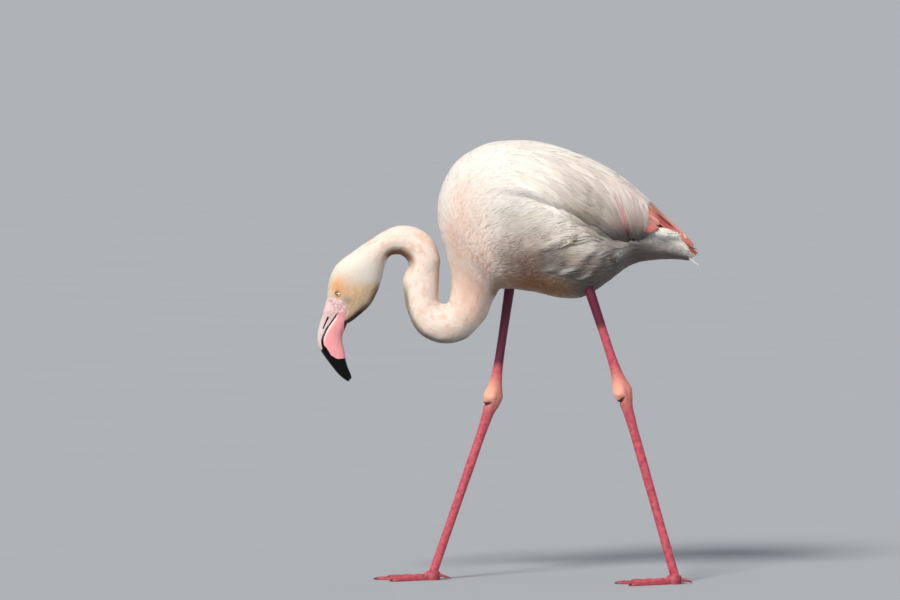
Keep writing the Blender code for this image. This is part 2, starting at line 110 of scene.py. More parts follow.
def set_attribute(obj, name, values):
    """Stores a number, vector or colour for each vertex, by the width of the array."""
    values = np.asarray(values, np.float32)
    width = 1 if values.ndim == 1 else values.shape[1]
    kind, key = {1: ("FLOAT", "value"), 3: ("FLOAT_VECTOR", "vector"), 4: ("FLOAT_COLOR", "color")}[width]
    obj.data.attributes.new(name, kind, "POINT").data.foreach_set(key, values.ravel())


# Rolled lino: even and without gloss, with a faint cloudy tone
lino = new_material("matt pale grey lino")
metres = add(lino, "ShaderNodeTexCoord").outputs["Object"]
grain = add(lino, "ShaderNodeTexNoise", {"Vector": metres, "Scale": 3.0, "Detail": 2.0})
tone = add(lino, "ShaderNodeMix", {0: grain.outputs[0], 6: "#9fa4ab", 7: "#a3a8af"},
           data_type="RGBA")
add(lino, "Principled BSDF", {"Base Color": tone.outputs[2], "Roughness": 0.9, "Specular IOR Level": 0.0})

FLOOR_REACH = 3000.0    # metres from the bird's feet to each edge
corners = FLOOR_REACH * np.array([(-1, -1, 0), (1, -1, 0), (1, 1, 0), (-1, 1, 0)])
floor_mesh = bpy.data.meshes.new("floor")
floor_mesh.from_pydata([tuple(corner) for corner in corners], [], [(0, 1, 2, 3)])
floor_mesh.materials.append(lino)
floor = bpy.data.objects.new("floor", floor_mesh)
bpy.context.collection.objects.link(floor)


def soft_lamp(name, place, softness, strength, colour):
    """Lamp so far off that its light is even, shining on the model from the direction of
    place. Softness is the width of the light in degrees, as a big diffuser has."""
    data = bpy.data.lights.new(name, "SUN")
    data.angle = math.radians(softness)
    data.energy = strength
    data.color = linear(colour)
    lamp = bpy.data.objects.new(name, data)
    lamp.rotation_euler = (math.atan2(math.hypot(place[0], place[1]), place[2]), 0,
                           math.atan2(place[0], -place[1]))
    bpy.context.collection.objects.link(lamp)


soft_lamp("key", (-1.1, -1.95, 2.0), 16, 3.5, "#fff7ec")
soft_lamp("fill", (-1.1, -2.6, 1.5), 50, 0.2, "#fdf6f0")

sky = bpy.context.scene.world or bpy.data.worlds.new("pale sky")
bpy.context.scene.world = sky
sky.use_nodes = True
sky.node_tree.nodes["Background"].inputs["Color"].default_value = (*linear("#e6ebf0"), 1)
sky.node_tree.nodes["Background"].inputs["Strength"].default_value = 0.54
bpy.context.scene.view_settings.view_transform = "Standard"
bpy.context.scene.view_settings.look = "None"

# The camera stands ten metres off, a little above the bird's back.
camera_data = bpy.data.cameras.new("camera")
camera_data.sensor_width = 36.0
camera_data.lens = 266.7
camera = bpy.data.objects.new("camera", camera_data)
camera.location = (-0.0881, -10.0, 0.8745)
camera.rotation_euler = (math.pi / 2 - math.atan(0.045), 0, 0)
bpy.context.collection.objects.link(camera)
bpy.context.scene.camera = camera


# Body form: the living body's outer shape, as the solids have it. Each cross-section
# joins a point of the back line to a point of the belly line, and the coat's tips
# reach this surface.

# Name, back point, belly point, half width, roundness (2 is an ellipse), egg shape
TRUNK = (
    ("tail tip", (285, 496), (276, 484), 9, 2.0, 0.0),
    ("tail", (261, 524), (250, 487), 22, 2.0, 0.0),
    ("tail root", (233, 551), (219, 486), 36, 2.0, 0.05),
    ("rump", (198, 586), (188, 480), 50, 2.1, 0.1),
    ("loin", (155, 619), (149, 453), 62, 2.2, 0.1),
    ("hips", (107, 643), (111, 430), 71, 2.3, 0.1),
    ("mid back", (59, 659), (77, 429), 76, 2.3, 0.1),
    ("saddle", (8, 664), (37, 438), 77, 2.3, 0.1),
    ("mantle", (-43, 655), (5, 442), 74, 2.3, 0.05),
    ("shoulder", (-82, 628), (-8, 442.5), 67, 2.2, 0.0),
    ("breast", (-104.5, 582), (-12, 442), 58, 2.1, 0.0),
    ("fore breast", (-105, 536), (-15, 440), 49, 2.0, 0.0),
    ("neck base", (-95, 498), (-18, 434), 41, 2.0, 0.0),
    ("neck root", (-86, 459), (-25, 421), 33, 2.0, 0.0),
)
RISE = (
    ("rise low", (-105, 448), (-157, 433), 24, 2.0, 0.0),
    ("rise high", (-104, 471), (-158, 457), 23, 2.0, 0.0),
)
HEAD = (
    ("nape", (-211, 512.5), (-184, 482), 22, 2.0, 0.0),
    ("hind crown", (-236.5, 495), (-188, 468), 24, 2.0, 0.05),
    ("crown", (-256, 480), (-191, 454.5), 25.5, 2.1, 0.1),
    ("fore crown", (-266.5, 463.5), (-198, 435), 24.5, 2.1, 0.1),
    ("brow", (-271, 447), (-209.5, 415.5), 21.5, 2.1, 0.1),
    ("lores", (-272.3, 435), (-227.5, 399), 17.5, 2.1, 0.1),
    ("bill base", (-272.6, 426), (-242.6, 388.5), 13.6, 2.1, 0.0),
)
# The neck's two turns: centre and radii of the back line and of the throat line,
# first and last angle, and half width at each end
LOWER_TURN = dict(name="lower turn", back=(-97, 427), back_radii=(8.5, 8.5), belly=(-100, 420),
                  belly_radii=(67, 53), angles=(-27, -160), widths=(30, 25), stations=6)
UPPER_TURN = dict(name="upper turn", back=(-157, 481.5), back_radii=(54, 55.5), belly=(-168.4, 475.5),
                  belly_radii=(18, 18), angles=(8, 127), widths=(23, 22), stations=5)


def smooth(knots, values, t):
    """Cubic through the values at the knots, with the slope of the parabola through
    each knot and its two neighbours. t has any shape, and the values one more axis."""
    knots = np.asarray(knots, float)
    values = np.asarray(values, float).reshape(len(knots), -1)
    gap = np.diff(knots)[:, None]
    chord = np.diff(values, axis=0) / gap
    slope = np.empty_like(values)
    slope[1:-1] = (gap[:-1] * chord[1:] + gap[1:] * chord[:-1]) / (gap[:-1] + gap[1:])
    slope[0] = 2 * chord[0] - slope[1]
    slope[-1] = 2 * chord[-1] - slope[-2]
    t = np.clip(np.asarray(t, float), knots[0], knots[-1])
    i = np.clip(np.searchsorted(knots, t, side="right") - 1, 0, len(gap) - 1)
    h = gap[i]
    u = (t - knots[i])[..., None] / h
    return ((1 + 2 * u) * (1 - u) ** 2 * values[i] + u * (1 - u) ** 2 * h * slope[i]
            + u * u * (3 - 2 * u) * values[i + 1] + u * u * (u - 1) * h * slope[i + 1])


def turn_stations(turn):
    """Cross-sections that fan round one bend of the neck, between two arcs."""
    rows = []
    for k in range(turn["stations"]):
        f = k / (turn["stations"] - 1)
        angle = math.radians(turn["angles"][0] * (1 - f) + turn["angles"][1] * f)
        row = [f"{turn['name']} {k}"]
        for line in ("back", "belly"):
            first, last = turn[line + "_radii"]
            radius = first * (1 - f) + last * f
            row.append((turn[line][0] + radius * math.cos(angle), turn[line][1] + radius * math.sin(angle)))
        row += [turn["widths"][0] * (1 - f) + turn["widths"][1] * f, 2.0, 0.0]
        rows.append(tuple(row))
    return rows


STATIONS = list(TRUNK) + turn_stations(LOWER_TURN) + list(RISE) + turn_stations(UPPER_TURN) + list(HEAD)
NAMES = [row[0] for row in STATIONS]
BACK = np.array([row[1] for row in STATIONS]) * MM
BELLY = np.array([row[2] for row in STATIONS]) * MM
FORM = np.array([(row[3] * MM, row[4], row[5]) for row in STATIONS])
PLACE = np.concatenate([[0.0], np.cumsum(0.5 * (np.linalg.norm(np.diff(BACK, axis=0), axis=1)
                                                + np.linalg.norm(np.diff(BELLY, axis=0), axis=1)))])
END = PLACE[-1]


def place(name):
    """Distance of a named cross-section along the body, from the tail's tip."""
    return PLACE[NAMES.index(name)]


def body_point(t, angle):
    """Point of the body's surface: the middle of the cross-section at t, plus its arm
    times cos(angle) ^ (2 / roundness) and its half width times sin(angle) ^ (2 /
    roundness), which an egg shape widens by 1 + egg x cos(angle). The angle runs from
    the back (0) over the left side to the belly (pi)."""
    back, belly, form = (smooth(PLACE, line, t) for line in (BACK, BELLY, FORM))
    half_width, roundness, egg = np.moveaxis(form, -1, 0)
    c, s = np.cos(angle), np.sin(angle)
    up = np.sign(c) * np.abs(c) ** (2 / roundness)
    out = np.sign(s) * np.abs(s) ** (2 / roundness) * half_width * (1 + egg * c)
    middle, arm = (back + belly) / 2, (back - belly) / 2
    return np.stack([middle[..., 0] + arm[..., 0] * up, -out, middle[..., 1] + arm[..., 1] * up], axis=-1)


def unit(vectors):
    """Vectors divided by their lengths."""
    return vectors / np.maximum(np.linalg.norm(vectors, axis=-1, keepdims=True), 1e-12)


def body_normal(t, angle):
    """Outward normal of the body's surface: along it crossed with round it."""
    along = body_point(t + 0.5 * MM, angle) - body_point(t - 0.5 * MM, angle)
    around = body_point(t, angle + 0.02) - body_point(t, angle - 0.02)
    return unit(np.cross(along, around))


def step(x):
    """Smooth step from 0 to 1."""
    x = np.clip(x, 0, 1)
    return x * x * (3 - 2 * x)


def band(x, rise, full, fade, gone):
    """1 between full and fade, and a smooth fall to 0 at rise and at gone."""
    return step((x - rise) / (full - rise)) * step((gone - x) / (gone - fade))


def side_angle(angle):
    """Angle from the back towards the belly, 0 to pi, the same on both sides."""
    wrapped = np.mod(angle, 2 * math.pi)
    return np.minimum(wrapped, 2 * math.pi - wrapped)


def side_degrees(angle):
    """The same angle in degrees."""
    return np.degrees(side_angle(angle))


# The folded wing lies between two edges, given in degrees from the back
WING_FRONT = place("shoulder") - 18 * MM
WING_TOP = ((0.0, 30), (place("tail root"), 11), (place("hips"), 9), (place("mantle"), 34),
            (place("shoulder"), 44), (place("fore breast"), 45), (END, 45))
WING_BOTTOM = ((0.0, 60), (place("tail"), 62), (place("tail root"), 92), (place("rump"), 106),
               (place("loin"), 104), (place("hips"), 90), (place("mid back"), 84),
               (place("mantle"), 74), (place("fore breast"), 80), (END, 90))
WING_SWELL = 8.0 * MM


def wing_share(t, angle):
    """Place on the folded wing: from its upper edge (0) to its lower edge (1)."""
    top, bottom = (np.radians(np.interp(t, *zip(*edge))) for edge in (WING_TOP, WING_BOTTOM))
    return (side_angle(angle) - top) / (bottom - top)


def wing_rise(t, angle):
    """Height of the folded wing over the body: full in the middle, with a gentle slope
    from its upper edge and front and a steep one at its lower edge."""
    v = np.clip(wing_share(t, angle), 0, 1)
    u = np.clip((WING_FRONT - t) / WING_FRONT, 0, 1)
    return (WING_SWELL * step(v / 0.4) * step((1 - v) / 0.14) * step(u / 0.22)
            * (0.3 + 0.7 * step((1 - u) / 0.3)))


DRAPE_END = place("tail root") + 25 * MM
# Lower edge of the coral on the tail: place along the body, degrees from the back
CORAL_EDGE = ((0.0, 84), (14 * MM, 80), (23 * MM, 60), (37 * MM, 56), (56 * MM, 55), (63 * MM, 57),
              (71 * MM, 63), (79 * MM, 73), (88 * MM, 84), (93 * MM, 89), (106 * MM, 97))


def coral_edge(t):
    """Lower edge of the coral at t, in degrees from the back."""
    return np.interp(t, *zip(*CORAL_EDGE))


def coral_zone(t, angle):
    """1 where the coral of the tail shows: behind the drape and above the white fluff."""
    edge = coral_edge(t)
    return step((edge - side_degrees(angle)) / 5 + 0.5) * step((DRAPE_END - t) / (6 * MM) + 0.5)


def lie(t, angle):
    """Turn of the coat's lie from tailwards towards the belly, in radians: it falls
    across the folded wing, steepest at the drape, and sweeps up over the flank."""
    side, share = side_degrees(angle), wing_share(t, angle)
    rear = step((place("hips") - t) / (85 * MM))
    fall = 0.45 * step((side - 12) / 45) + 0.65 * rear * step((side - 25) / 45)
    fall = fall * step((WING_FRONT - t) / (70 * MM)) * step((1.08 - share) / 0.12)
    fall = fall * step((t - place("tail root")) / 0.025)
    places = [place(name) for name in ("rump", "loin", "hips", "mid back", "saddle", "shoulder")]
    sweep = np.interp(t, places, (0.1, 0.22, -0.05, -0.42, -0.6, 0.0))
    return fall + sweep * step((share - 0.94) / 0.12) * step((165 - side) / 40)


TAIL_AXIS = unit(np.insert((BACK[1] + BELLY[1] - BACK[0] - BELLY[0]), 1, 0.0))


def coat_point(t, angle):
    """Point of the coat's outer surface: the body with the folded wings on it. Beyond
    the tail's tip the surface goes straight on."""
    on = np.clip(t, 0, END)
    point = body_point(on, angle) + body_normal(on, angle) * wing_rise(on, angle)[..., None]
    return point + (t - on)[..., None] * TAIL_AXIS


def coat_frame(t, angle):
    """Outward normal of the coat's surface, and its slopes along the body and round it."""
    along = (coat_point(t + 1 * MM, angle) - coat_point(t - 1 * MM, angle)) / (2 * MM)
    around = (coat_point(t, angle + 0.03) - coat_point(t, angle - 0.03)) / 0.06
    return unit(np.cross(along, around)), along, around


# Markings: warm white plumage, peach on the breast, rose behind the neck, ochre round the
# face and tawny under the belly, read by the skin and every feather. The greys and browns
# of the flank, the undertail, the throat, the wing's lower edge and the neck's undersides
# are painted shade, not pigment, and the belly's tawny is partly painted shade.

EYE_PLACE = place("brow") + 0.30 * (place("lores") - place("brow"))
EYE_ANGLE = math.radians(63)


def patches(t, angle, size, seed):
    """Smooth random field over the body, 0 to 1, with spots of a size in metres: random
    numbers on a lattice, joined by smooth steps. The lattice closes round the body."""
    rows, columns = int(END / size) + 3, int(0.22 / size)
    lattice = np.random.default_rng(seed).uniform(0, 1, (rows, columns))
    u, v = np.clip(t / size, 0, rows - 2), np.mod(angle / (2 * math.pi), 1) * columns
    i, j = u.astype(int), v.astype(int) % columns
    f, g, k = step(u - i), step(v - v.astype(int)), (j + 1) % columns
    return ((lattice[i, j] * (1 - f) + lattice[i + 1, j] * f) * (1 - g)
            + (lattice[i, k] * (1 - f) + lattice[i + 1, k] * f) * g)


def paint(colour, target, mask):
    """Mixes a colour array towards one sRGB hex colour by a mask."""
    return colour + (np.array(linear(target)) - colour) * np.clip(mask, 0, 1)[..., None]


def even_colour(t, hex_colour):
    """One sRGB hex colour at every place t, as linear light."""
    return np.zeros(t.shape + (3,)) + np.array(linear(hex_colour))


def markings_and_shade(t, angle):
    """Linear colour of the plumage at a place: each tint is mixed in by smooth bands
    along the body (t) and from the back to the belly (degrees)."""
    side = side_degrees(angle)
    colour = even_colour(t, "#f6ece5")
    neck = band(t, place("neck base"), place("neck root"), place("nape"), place("crown"))
    colour = paint(colour, "#f8e3d5", neck * 0.85)
    colour = paint(colour, "#eebfa6", neck * step((patches(t, angle, 7 * MM, 1) - 0.45) / 0.5) * 0.55)
    breast = band(t, place("mantle") - 15 * MM, place("breast"), place("neck root"), place("lower turn 2"))
    patchy = 0.55 + 0.6 * patches(t, angle, 11 * MM, 2)
    colour = paint(colour, "#efb99f", breast * band(side, 18, 66, 112, 172) * patchy * 0.62)
    rear = band(t, place("lower turn 3"), place("rise low"), place("rise high"), place("upper turn 3"))
    colour = paint(colour, "#e8a58d", rear * step((62 - side) / 50) * 0.42)
    # Orange-brown under the neck's upper bend is painted shade
    arch = band(t, place("rise high"), place("upper turn 1"), place("upper turn 4"), place("nape"))
    colour = paint(colour, "#7d4a1c", arch * step((side - 108) / 34) * 0.92)
    # Mottled dark olive under the neck's lower bend is painted shade
    bottom = band(t, place("lower turn 0"), place("lower turn 2"), place("rise low"), place("rise high"))
    mottled = 0.6 + 0.4 * patches(t, angle, 9 * MM, 27)
    colour = paint(colour, "#5f5238", bottom * step((side - 124) / 32) * mottled * 0.85)
    head = step((t - place("nape")) / (place("crown") - place("nape")))
    colour = paint(colour, "#f3e9dc", head * 0.9)
    front = band(t, place("crown"), place("brow"), END, END + 20 * MM)
    colour = paint(colour, "#cfd0ca", front * step((32 - side) / 18) * 0.6)
    reach = t + np.clip(side - 90, 0, 50) * 0.2 * MM
    cheek = band(reach, place("crown") + 8 * MM, place("fore crown") + 8 * MM, END + 20 * MM, END + 40 * MM)
    speckled = 0.55 + 0.75 * patches(t, angle, 3.5 * MM, 7)
    colour = paint(colour, "#ecc391", cheek * step((side - 62) / 50) * speckled * 0.85)
    # Below the cheek the plumage turns darker brown, partly the throat's own ochre and partly painted shade,
    # and the near-black band under the jaw is painted shade
    colour = paint(colour, "#7a5332", cheek * step((side - 136) / 24) * 0.8)
    jowl = band(t, place("fore crown") + 12 * MM, place("lores") - 4 * MM, END, END + 20 * MM)
    colour = paint(colour, "#33191f", jowl * step((side - 129) / 18) * 0.92)
    behind, above = (t - EYE_PLACE + 8 * MM) / (22 * MM), (side - 55) / 34
    colour = paint(colour, "#f2ab6a", np.exp(-behind ** 2 - above ** 2) * (0.55 + 0.4 * speckled))
    behind, above = (t - END + 25 * MM) / (6 * MM), (side - 92) / 13
    colour = paint(colour, "#a39a8a", np.exp(-behind ** 2 - above ** 2) * 0.7)
    chin = band(t, END - 17 * MM, END - 10 * MM, END, END + 9 * MM)
    colour = paint(colour, "#efdcc0", chin * band(side, 108, 114, 120, 128) * 0.9)
    flank = band(t, place("rump"), place("loin"), place("saddle"), place("shoulder"))
    mottled = 0.35 + 0.4 * patches(t, angle, 20 * MM, 5)
    colour = paint(colour, "#e0cabc", flank * band(side, 82, 100, 130, 150) * mottled)
    share = wing_share(t, angle)
    # A faint greyer tint over the rear of the wing is painted shade
    rear_wing = band(t, place("tail root"), place("rump"), place("hips"), place("saddle"))
    colour = paint(colour, "#d9c9bf", rear_wing * band(share, 0.15, 0.4, 0.9, 1.05) * 0.65)
    # A dark grey line along the wing's lower edge is painted shade under the wing
    crease = band(t, place("rump"), place("loin"), place("hips"), place("mid back"))
    colour = paint(colour, "#8f857b", crease * band(share, 0.78, 0.94, 1.0, 1.06) * 0.75)
    # Greyer below the wing's edge and darker down the lower flank: painted shade
    mixed = 0.55 + 0.45 * patches(t, angle, 7 * MM, 23)
    colour = paint(colour, "#b0a194", flank * band(share, 1.08, 1.3, 2.2, 3.0) * mixed * 0.65)
    colour = paint(colour, "#74665e", flank * band(side, 104, 128, 150, 172) * 0.8)
    # Small dark dashes between breast and flank are painted shade in the gaps between feather tips
    dashes = band(t, place("mid back"), place("saddle"), place("mantle"), place("shoulder") + 12 * MM)
    mottled = 0.3 + 0.7 * patches(t, angle, 4 * MM, 26)
    colour = paint(colour, "#8c685a", dashes * band(side, 94, 112, 134, 152) * mottled * 0.8)
    # Dark grey-brown under the rear of the belly is painted shade
    colour = paint(colour, "#61564e", step((side - 112) / 24) * 0.8 * crease)
    # Tawny under the belly: partly the plumage's own stain and partly painted shade
    belly = band(t, place("hips"), place("mid back"), place("neck base"), place("neck root"))
    mixed = 0.75 + 0.25 * patches(t, angle, 16 * MM, 8)
    colour = paint(colour, "#96602f", belly * step((side - 127) / 24) * mixed * 0.85)
    # Grey under the tail, darkest at its underside: painted shade
    colour = paint(colour, "#ada099", step((place("loin") - t) / 0.05) * step((side - 72) / 30) * 0.7)
    shaded = band(t, place("tail root") - 6 * MM, place("rump") - 4 * MM, place("loin"), place("hips"))
    colour = paint(colour, "#77706d", shaded * band(side, 82, 92, 190, 200) * 0.65)
    colour = paint(colour, "#5c524c", step((place("loin") - t) / 0.06) * step((side - 106) / 30) * 0.85)
    colour = paint(colour, "#b5574b", coral_zone(t, angle))
    return colour


# Skin: the whole body's hide in one piece, under the coat by the coat's depth. It comes
# up to the surface on the bare face between eye and bill, and is downy elsewhere.

# Degrees from the back, and how far the bare face reaches back from the bill
BARE_FACE = ((0, 3), (28, 4), (48, 11), (58, 15), (70, 17), (82, 20), (90, 21), (101, 18),
             (111, 13), (117, 8), (121, 3), (130, 1), (180, 0.5))
# Place along the body, and how deep the skin lies there in millimetres
COAT_DEPTH = ((0.0, 5.6), (12 * MM, 4.4), (place("tail root"), 6), (place("rump"), 8),
              (place("fore breast"), 8), (place("neck root"), 4.5), (place("rise low"), 2.8),
              (place("nape"), 2.2), (place("crown"), 1.6), (place("lores"), 1.2), (END, 1.0))


def eye_distance(t, angle):
    """Distance over the surface from the nearer eye's middle."""
    round_head = 0.020 * (side_angle(angle) - EYE_ANGLE)
    return np.hypot(t - EYE_PLACE, round_head)


def bareness(t, angle):
    """1 on bare skin: in front of the face's feather line, and round the eye."""
    degrees, reach = zip(*BARE_FACE)
    edge = END - np.interp(side_degrees(angle), degrees, reach) * MM
    edge = edge + (patches(t, angle, 2.2 * MM, 9) - 0.5) * 3.5 * MM
    lores = step((t - edge) / (1.5 * MM) + 0.5)
    eye_ring = step((4.6 * MM - eye_distance(t, angle)) / (1.2 * MM) + 0.5)
    return np.maximum(lores, eye_ring)


def coat_depth(t):
    """Depth of the skin under the tips of the coat, in millimetres."""
    return np.interp(t, *zip(*COAT_DEPTH))


def quads(a, b, c, d):
    """Two triangles for each four-sided face whose corners run a, b, c, d."""
    return np.concatenate([np.stack([a, b, c], -1).reshape(-1, 3), np.stack([a, c, d], -1).reshape(-1, 3)])


def tube_faces(rows, around):
    """Triangles of a tube: its rows of points run round it, and two last points close
    its ends."""
    i, j = np.meshgrid(np.arange(rows - 1), np.arange(around), indexing="ij")
    a, b = i * around + j, i * around + (j + 1) % around
    j = np.arange(around)
    k = (j + 1) % around
    first, last = rows * around, (rows - 1) * around
    return np.concatenate([quads(a, b, b + around, a + around),
                           np.stack([k, j, np.full(around, first)], -1),
                           np.stack([last + j, last + k, np.full(around, first + 1)], -1)])


def closed_tube(rings):
    """Points and triangles of a tube closed at both ends, each by the middle of its ring."""
    rows, around = rings.shape[:2]
    ends = np.stack([rings[0].mean(axis=0), rings[-1].mean(axis=0)])
    return np.concatenate([rings.reshape(-1, 3), ends]), tube_faces(rows, around)


# The skin's rows lie closer on the neck and closest on the head
SKIN_AROUND = 150
skin_t = np.concatenate([np.linspace(0, place("neck root"), 130)[:-1],
                         np.linspace(place("neck root"), place("nape"), 170)[:-1],
                         np.linspace(place("nape"), END, 120)])
t_grid, a_grid = np.meshgrid(skin_t, np.linspace(0, 2 * math.pi, SKIN_AROUND, endpoint=False), indexing="ij")
bare = bareness(t_grid, a_grid)
eye_gap = eye_distance(t_grid, a_grid)
lid_crease = np.exp(-((eye_gap - 8.4 * MM) / (1.3 * MM)) ** 2)
fold_run = t_grid + 0.012 * side_angle(a_grid) + 2.0 * MM * patches(t_grid, a_grid, 5 * MM, 11)
wrinkle = np.sin(fold_run * 2 * math.pi / (2.9 * MM)) * step((t_grid - place("brow")) / 0.01)
lift = (-coat_depth(t_grid) * MM * (1 - bare) - 0.25 * MM * bare + wing_rise(t_grid, a_grid) * 0.9
        - 0.5 * MM * lid_crease * bare + 0.3 * MM * wrinkle * bare
        - 3.5 * MM * step((5.6 * MM - eye_gap) / (2 * MM)))
rings = body_point(t_grid, a_grid) + body_normal(t_grid, a_grid) * lift[..., None]
skin_points, skin_faces = closed_tube(rings)

# Soft hide: down in duller tints of the plumage where feathers grow, and on the face bare
# skin that is pale with mauve pores, pinker on the jaw, and finely wrinkled
hide = new_material("downy hide and bare face")
tint = add(hide, "ShaderNodeAttribute", attribute_name="markings_and_shade")
down = add(hide, "ShaderNodeMix", {0: 0.3, 6: tint.outputs["Color"], 7: "#c2a898"}, data_type="RGBA")
metres = add(hide, "ShaderNodeTexCoord").outputs["Object"]
spots = add(hide, "ShaderNodeTexNoise", {"Vector": metres, "Scale": 300.0, "Detail": 3.0})
pinks = add(hide, "ShaderNodeMapRange", {"Value": spots.outputs[0], 1: 0.35, 2: 0.65})
blush = add(hide, "ShaderNodeMix", {0: pinks.outputs[0], 6: "#cfa0a4", 7: "#f0dad3"},
            data_type="RGBA")
pores = add(hide, "ShaderNodeTexVoronoi", {"Vector": metres, "Scale": 260.0})
mauve = add(hide, "ShaderNodeMapRange", {"Value": pores.outputs["Distance"], 1: 0.1, 2: 0.4, 3: 0.6, 4: 0.0})
spotted = add(hide, "ShaderNodeMix", {0: mauve.outputs[0], 6: blush.outputs[2], 7: "#9d6f7c"},
              data_type="RGBA")
naked = add(hide, "ShaderNodeAttribute", attribute_name="bare")
parts = add(hide, "ShaderNodeSeparateXYZ", {0: naked.outputs["Vector"]})
jawed = add(hide, "ShaderNodeMix", {0: parts.outputs[1], 6: spotted.outputs[2], 7: "#eba6aa"},
            data_type="RGBA")
shown = add(hide, "ShaderNodeMix", {0: parts.outputs[0], 6: down.outputs[2], 7: jawed.outputs[2]},
            data_type="RGBA")
fine_folds = add(hide, "ShaderNodeTexVoronoi", {"Vector": metres, "Scale": 650.0})
relief = add(hide, "ShaderNodeBump", {"Strength": 0.5, "Distance": 0.0005,
                                      "Height": fine_folds.outputs["Distance"]})
add(hide, "Principled BSDF", {"Base Color": shown.outputs[2], "Roughness": 0.6, "Normal": relief.outputs[0],
                              "Subsurface Weight": 0.15, "Subsurface Scale": 0.002})

skin = mesh_object("skin", skin_points, skin_faces, hide)
pad = np.zeros((2, 4))
skin_colour = np.concatenate([markings_and_shade(t_grid, a_grid), np.ones(t_grid.shape + (1,))], axis=-1).reshape(-1, 4)
set_attribute(skin, "markings_and_shade", np.concatenate([skin_colour, pad]))
beside_bill = bare * step((t_grid - place("brow") - 6 * MM) / (2 * MM) + 0.5)
jaw = step((side_degrees(a_grid) - 104) / 14 + 0.5)
naked_parts = np.stack([beside_bill, jaw, 0 * bare], axis=-1).reshape(-1, 3)
set_attribute(skin, "bare", np.concatenate([naked_parts, naked_parts[:1], naked_parts[-1:]]))
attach(skin, "root")
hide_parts("tail", "trunk", "neck_lower", "neck_middle", "neck_upper", "head")


# Eyes: a wet glassy ball with a pale yellow iris, a black pupil and a dark rim, held by
# two thin tan lids, dark at the rim, whose opening is an almond.

EYE_RADIUS = 6.5 * MM
EYE_DEPTH = 5.0 * MM
# The lids' opening in millimetres, from the eye's middle to a corner, up and down, and the
# angle off the eye's axis, in radians, where the lids sink into the skin
LID_CORNER, LID_UP, LID_DOWN = 4.3, 1.7, 2.3
LID_SPAN = 1.16
eye_surface = body_point(np.array([EYE_PLACE]), np.array([EYE_ANGLE]))[0]
eye_axis = body_normal(np.array([EYE_PLACE]), np.array([EYE_ANGLE]))[0]
eye_middle = eye_surface - eye_axis * EYE_DEPTH

# Angle off the gaze, as a share of a right angle, and the colour there: pupil to rim
IRIS = ((0.15, "#060404"), (0.18, "#b9a05c"), (0.28, "#f5e8ba"), (0.50, "#efdfa6"), (0.62, "#a58a4c"),
        (0.72, "#5a431f"))
# Wet cornea: a clear film over the iris, which gives a small sharp glint
glass = new_material("wet eye with pale yellow iris")
across_eye = add(glass, "ShaderNodeAttribute", attribute_name="from_pupil")
iris = add(glass, "ShaderNodeValToRGB", {"Fac": across_eye.outputs["Fac"]})
stops = iris.color_ramp
stops.elements[0].position, stops.elements[0].color = 0.0, (*linear("#060404"), 1)
stops.elements[1].position, stops.elements[1].color = 1.0, (*linear("#2a1a12"), 1)
for at, shade in IRIS:
    stop = stops.elements.new(at)
    stop.color = (*linear(shade), 1)
add(glass, "Principled BSDF", {"Base Color": iris.outputs[0], "Roughness": 0.12, "Coat Weight": 1.0,
                               "Coat Roughness": 0.02, "Specular IOR Level": 0.1})

# Bare lid skin: soft and finely creased, with a dark brown rim like a drawn line along the
# upper lid, partly the lid's own edge and partly painted shade under the brow
lid_skin = new_material("thin tan eyelid skin")
metres = add(lid_skin, "ShaderNodeTexCoord").outputs["Object"]
lid_noise = add(lid_skin, "ShaderNodeTexNoise", {"Vector": metres, "Scale": 900.0, "Detail": 3.0})
lid_rim = add(lid_skin, "ShaderNodeAttribute", attribute_name="rim")
lid_tone = add(lid_skin, "ShaderNodeMix", {0: lid_rim.outputs["Fac"], 6: "#d3a67c",
                                           7: "#3d2210"}, data_type="RGBA")
lid_bump = add(lid_skin, "ShaderNodeBump", {"Strength": 0.4, "Distance": 0.0003,
                                            "Height": lid_noise.outputs[0]})
add(lid_skin, "Principled BSDF", {"Base Color": lid_tone.outputs[2], "Roughness": 0.5,
                                  "Normal": lid_bump.outputs[0]})


def eye_frame(side):
    """Middle of one eye, and its outward, forward and upward directions. The lids open
    along a line that falls gently forwards."""
    mirror = np.array([1, -side, 1])
    outward = eye_axis * mirror
    ahead = np.array([-0.89, 0.0, -0.45])
    ahead = unit(ahead - eye_axis * (ahead @ eye_axis))
    upward = unit(np.cross(ahead, eye_axis))
    upward = upward * np.sign(upward[2])
    return eye_middle * mirror, outward, ahead * mirror, upward * mirror


def eyeball(side):
    """Sphere round the eye's axis, by angle off the axis and round it, with the cornea
    raised a little in front. Returns the points and their angles off the gaze, which is
    turned a little forwards and down."""
    middle, outward, ahead, upward = eye_frame(side)
    off, turn = np.meshgrid(np.linspace(0.02, math.pi - 0.02, 40),
                            np.linspace(0, 2 * math.pi, 56, endpoint=False), indexing="ij")
    radius = EYE_RADIUS - 0.1 * MM + 0.25 * MM * np.exp(-(off / 0.6) ** 2)
    disc = ahead * np.cos(turn)[..., None] + upward * np.sin(turn)[..., None]
    way = outward * np.cos(off)[..., None] + disc * np.sin(off)[..., None]
    gaze = unit(outward + 0.15 * ahead - 0.17 * upward)
    return middle + radius[..., None] * way, np.arccos(np.clip(way @ gaze, -1, 1))


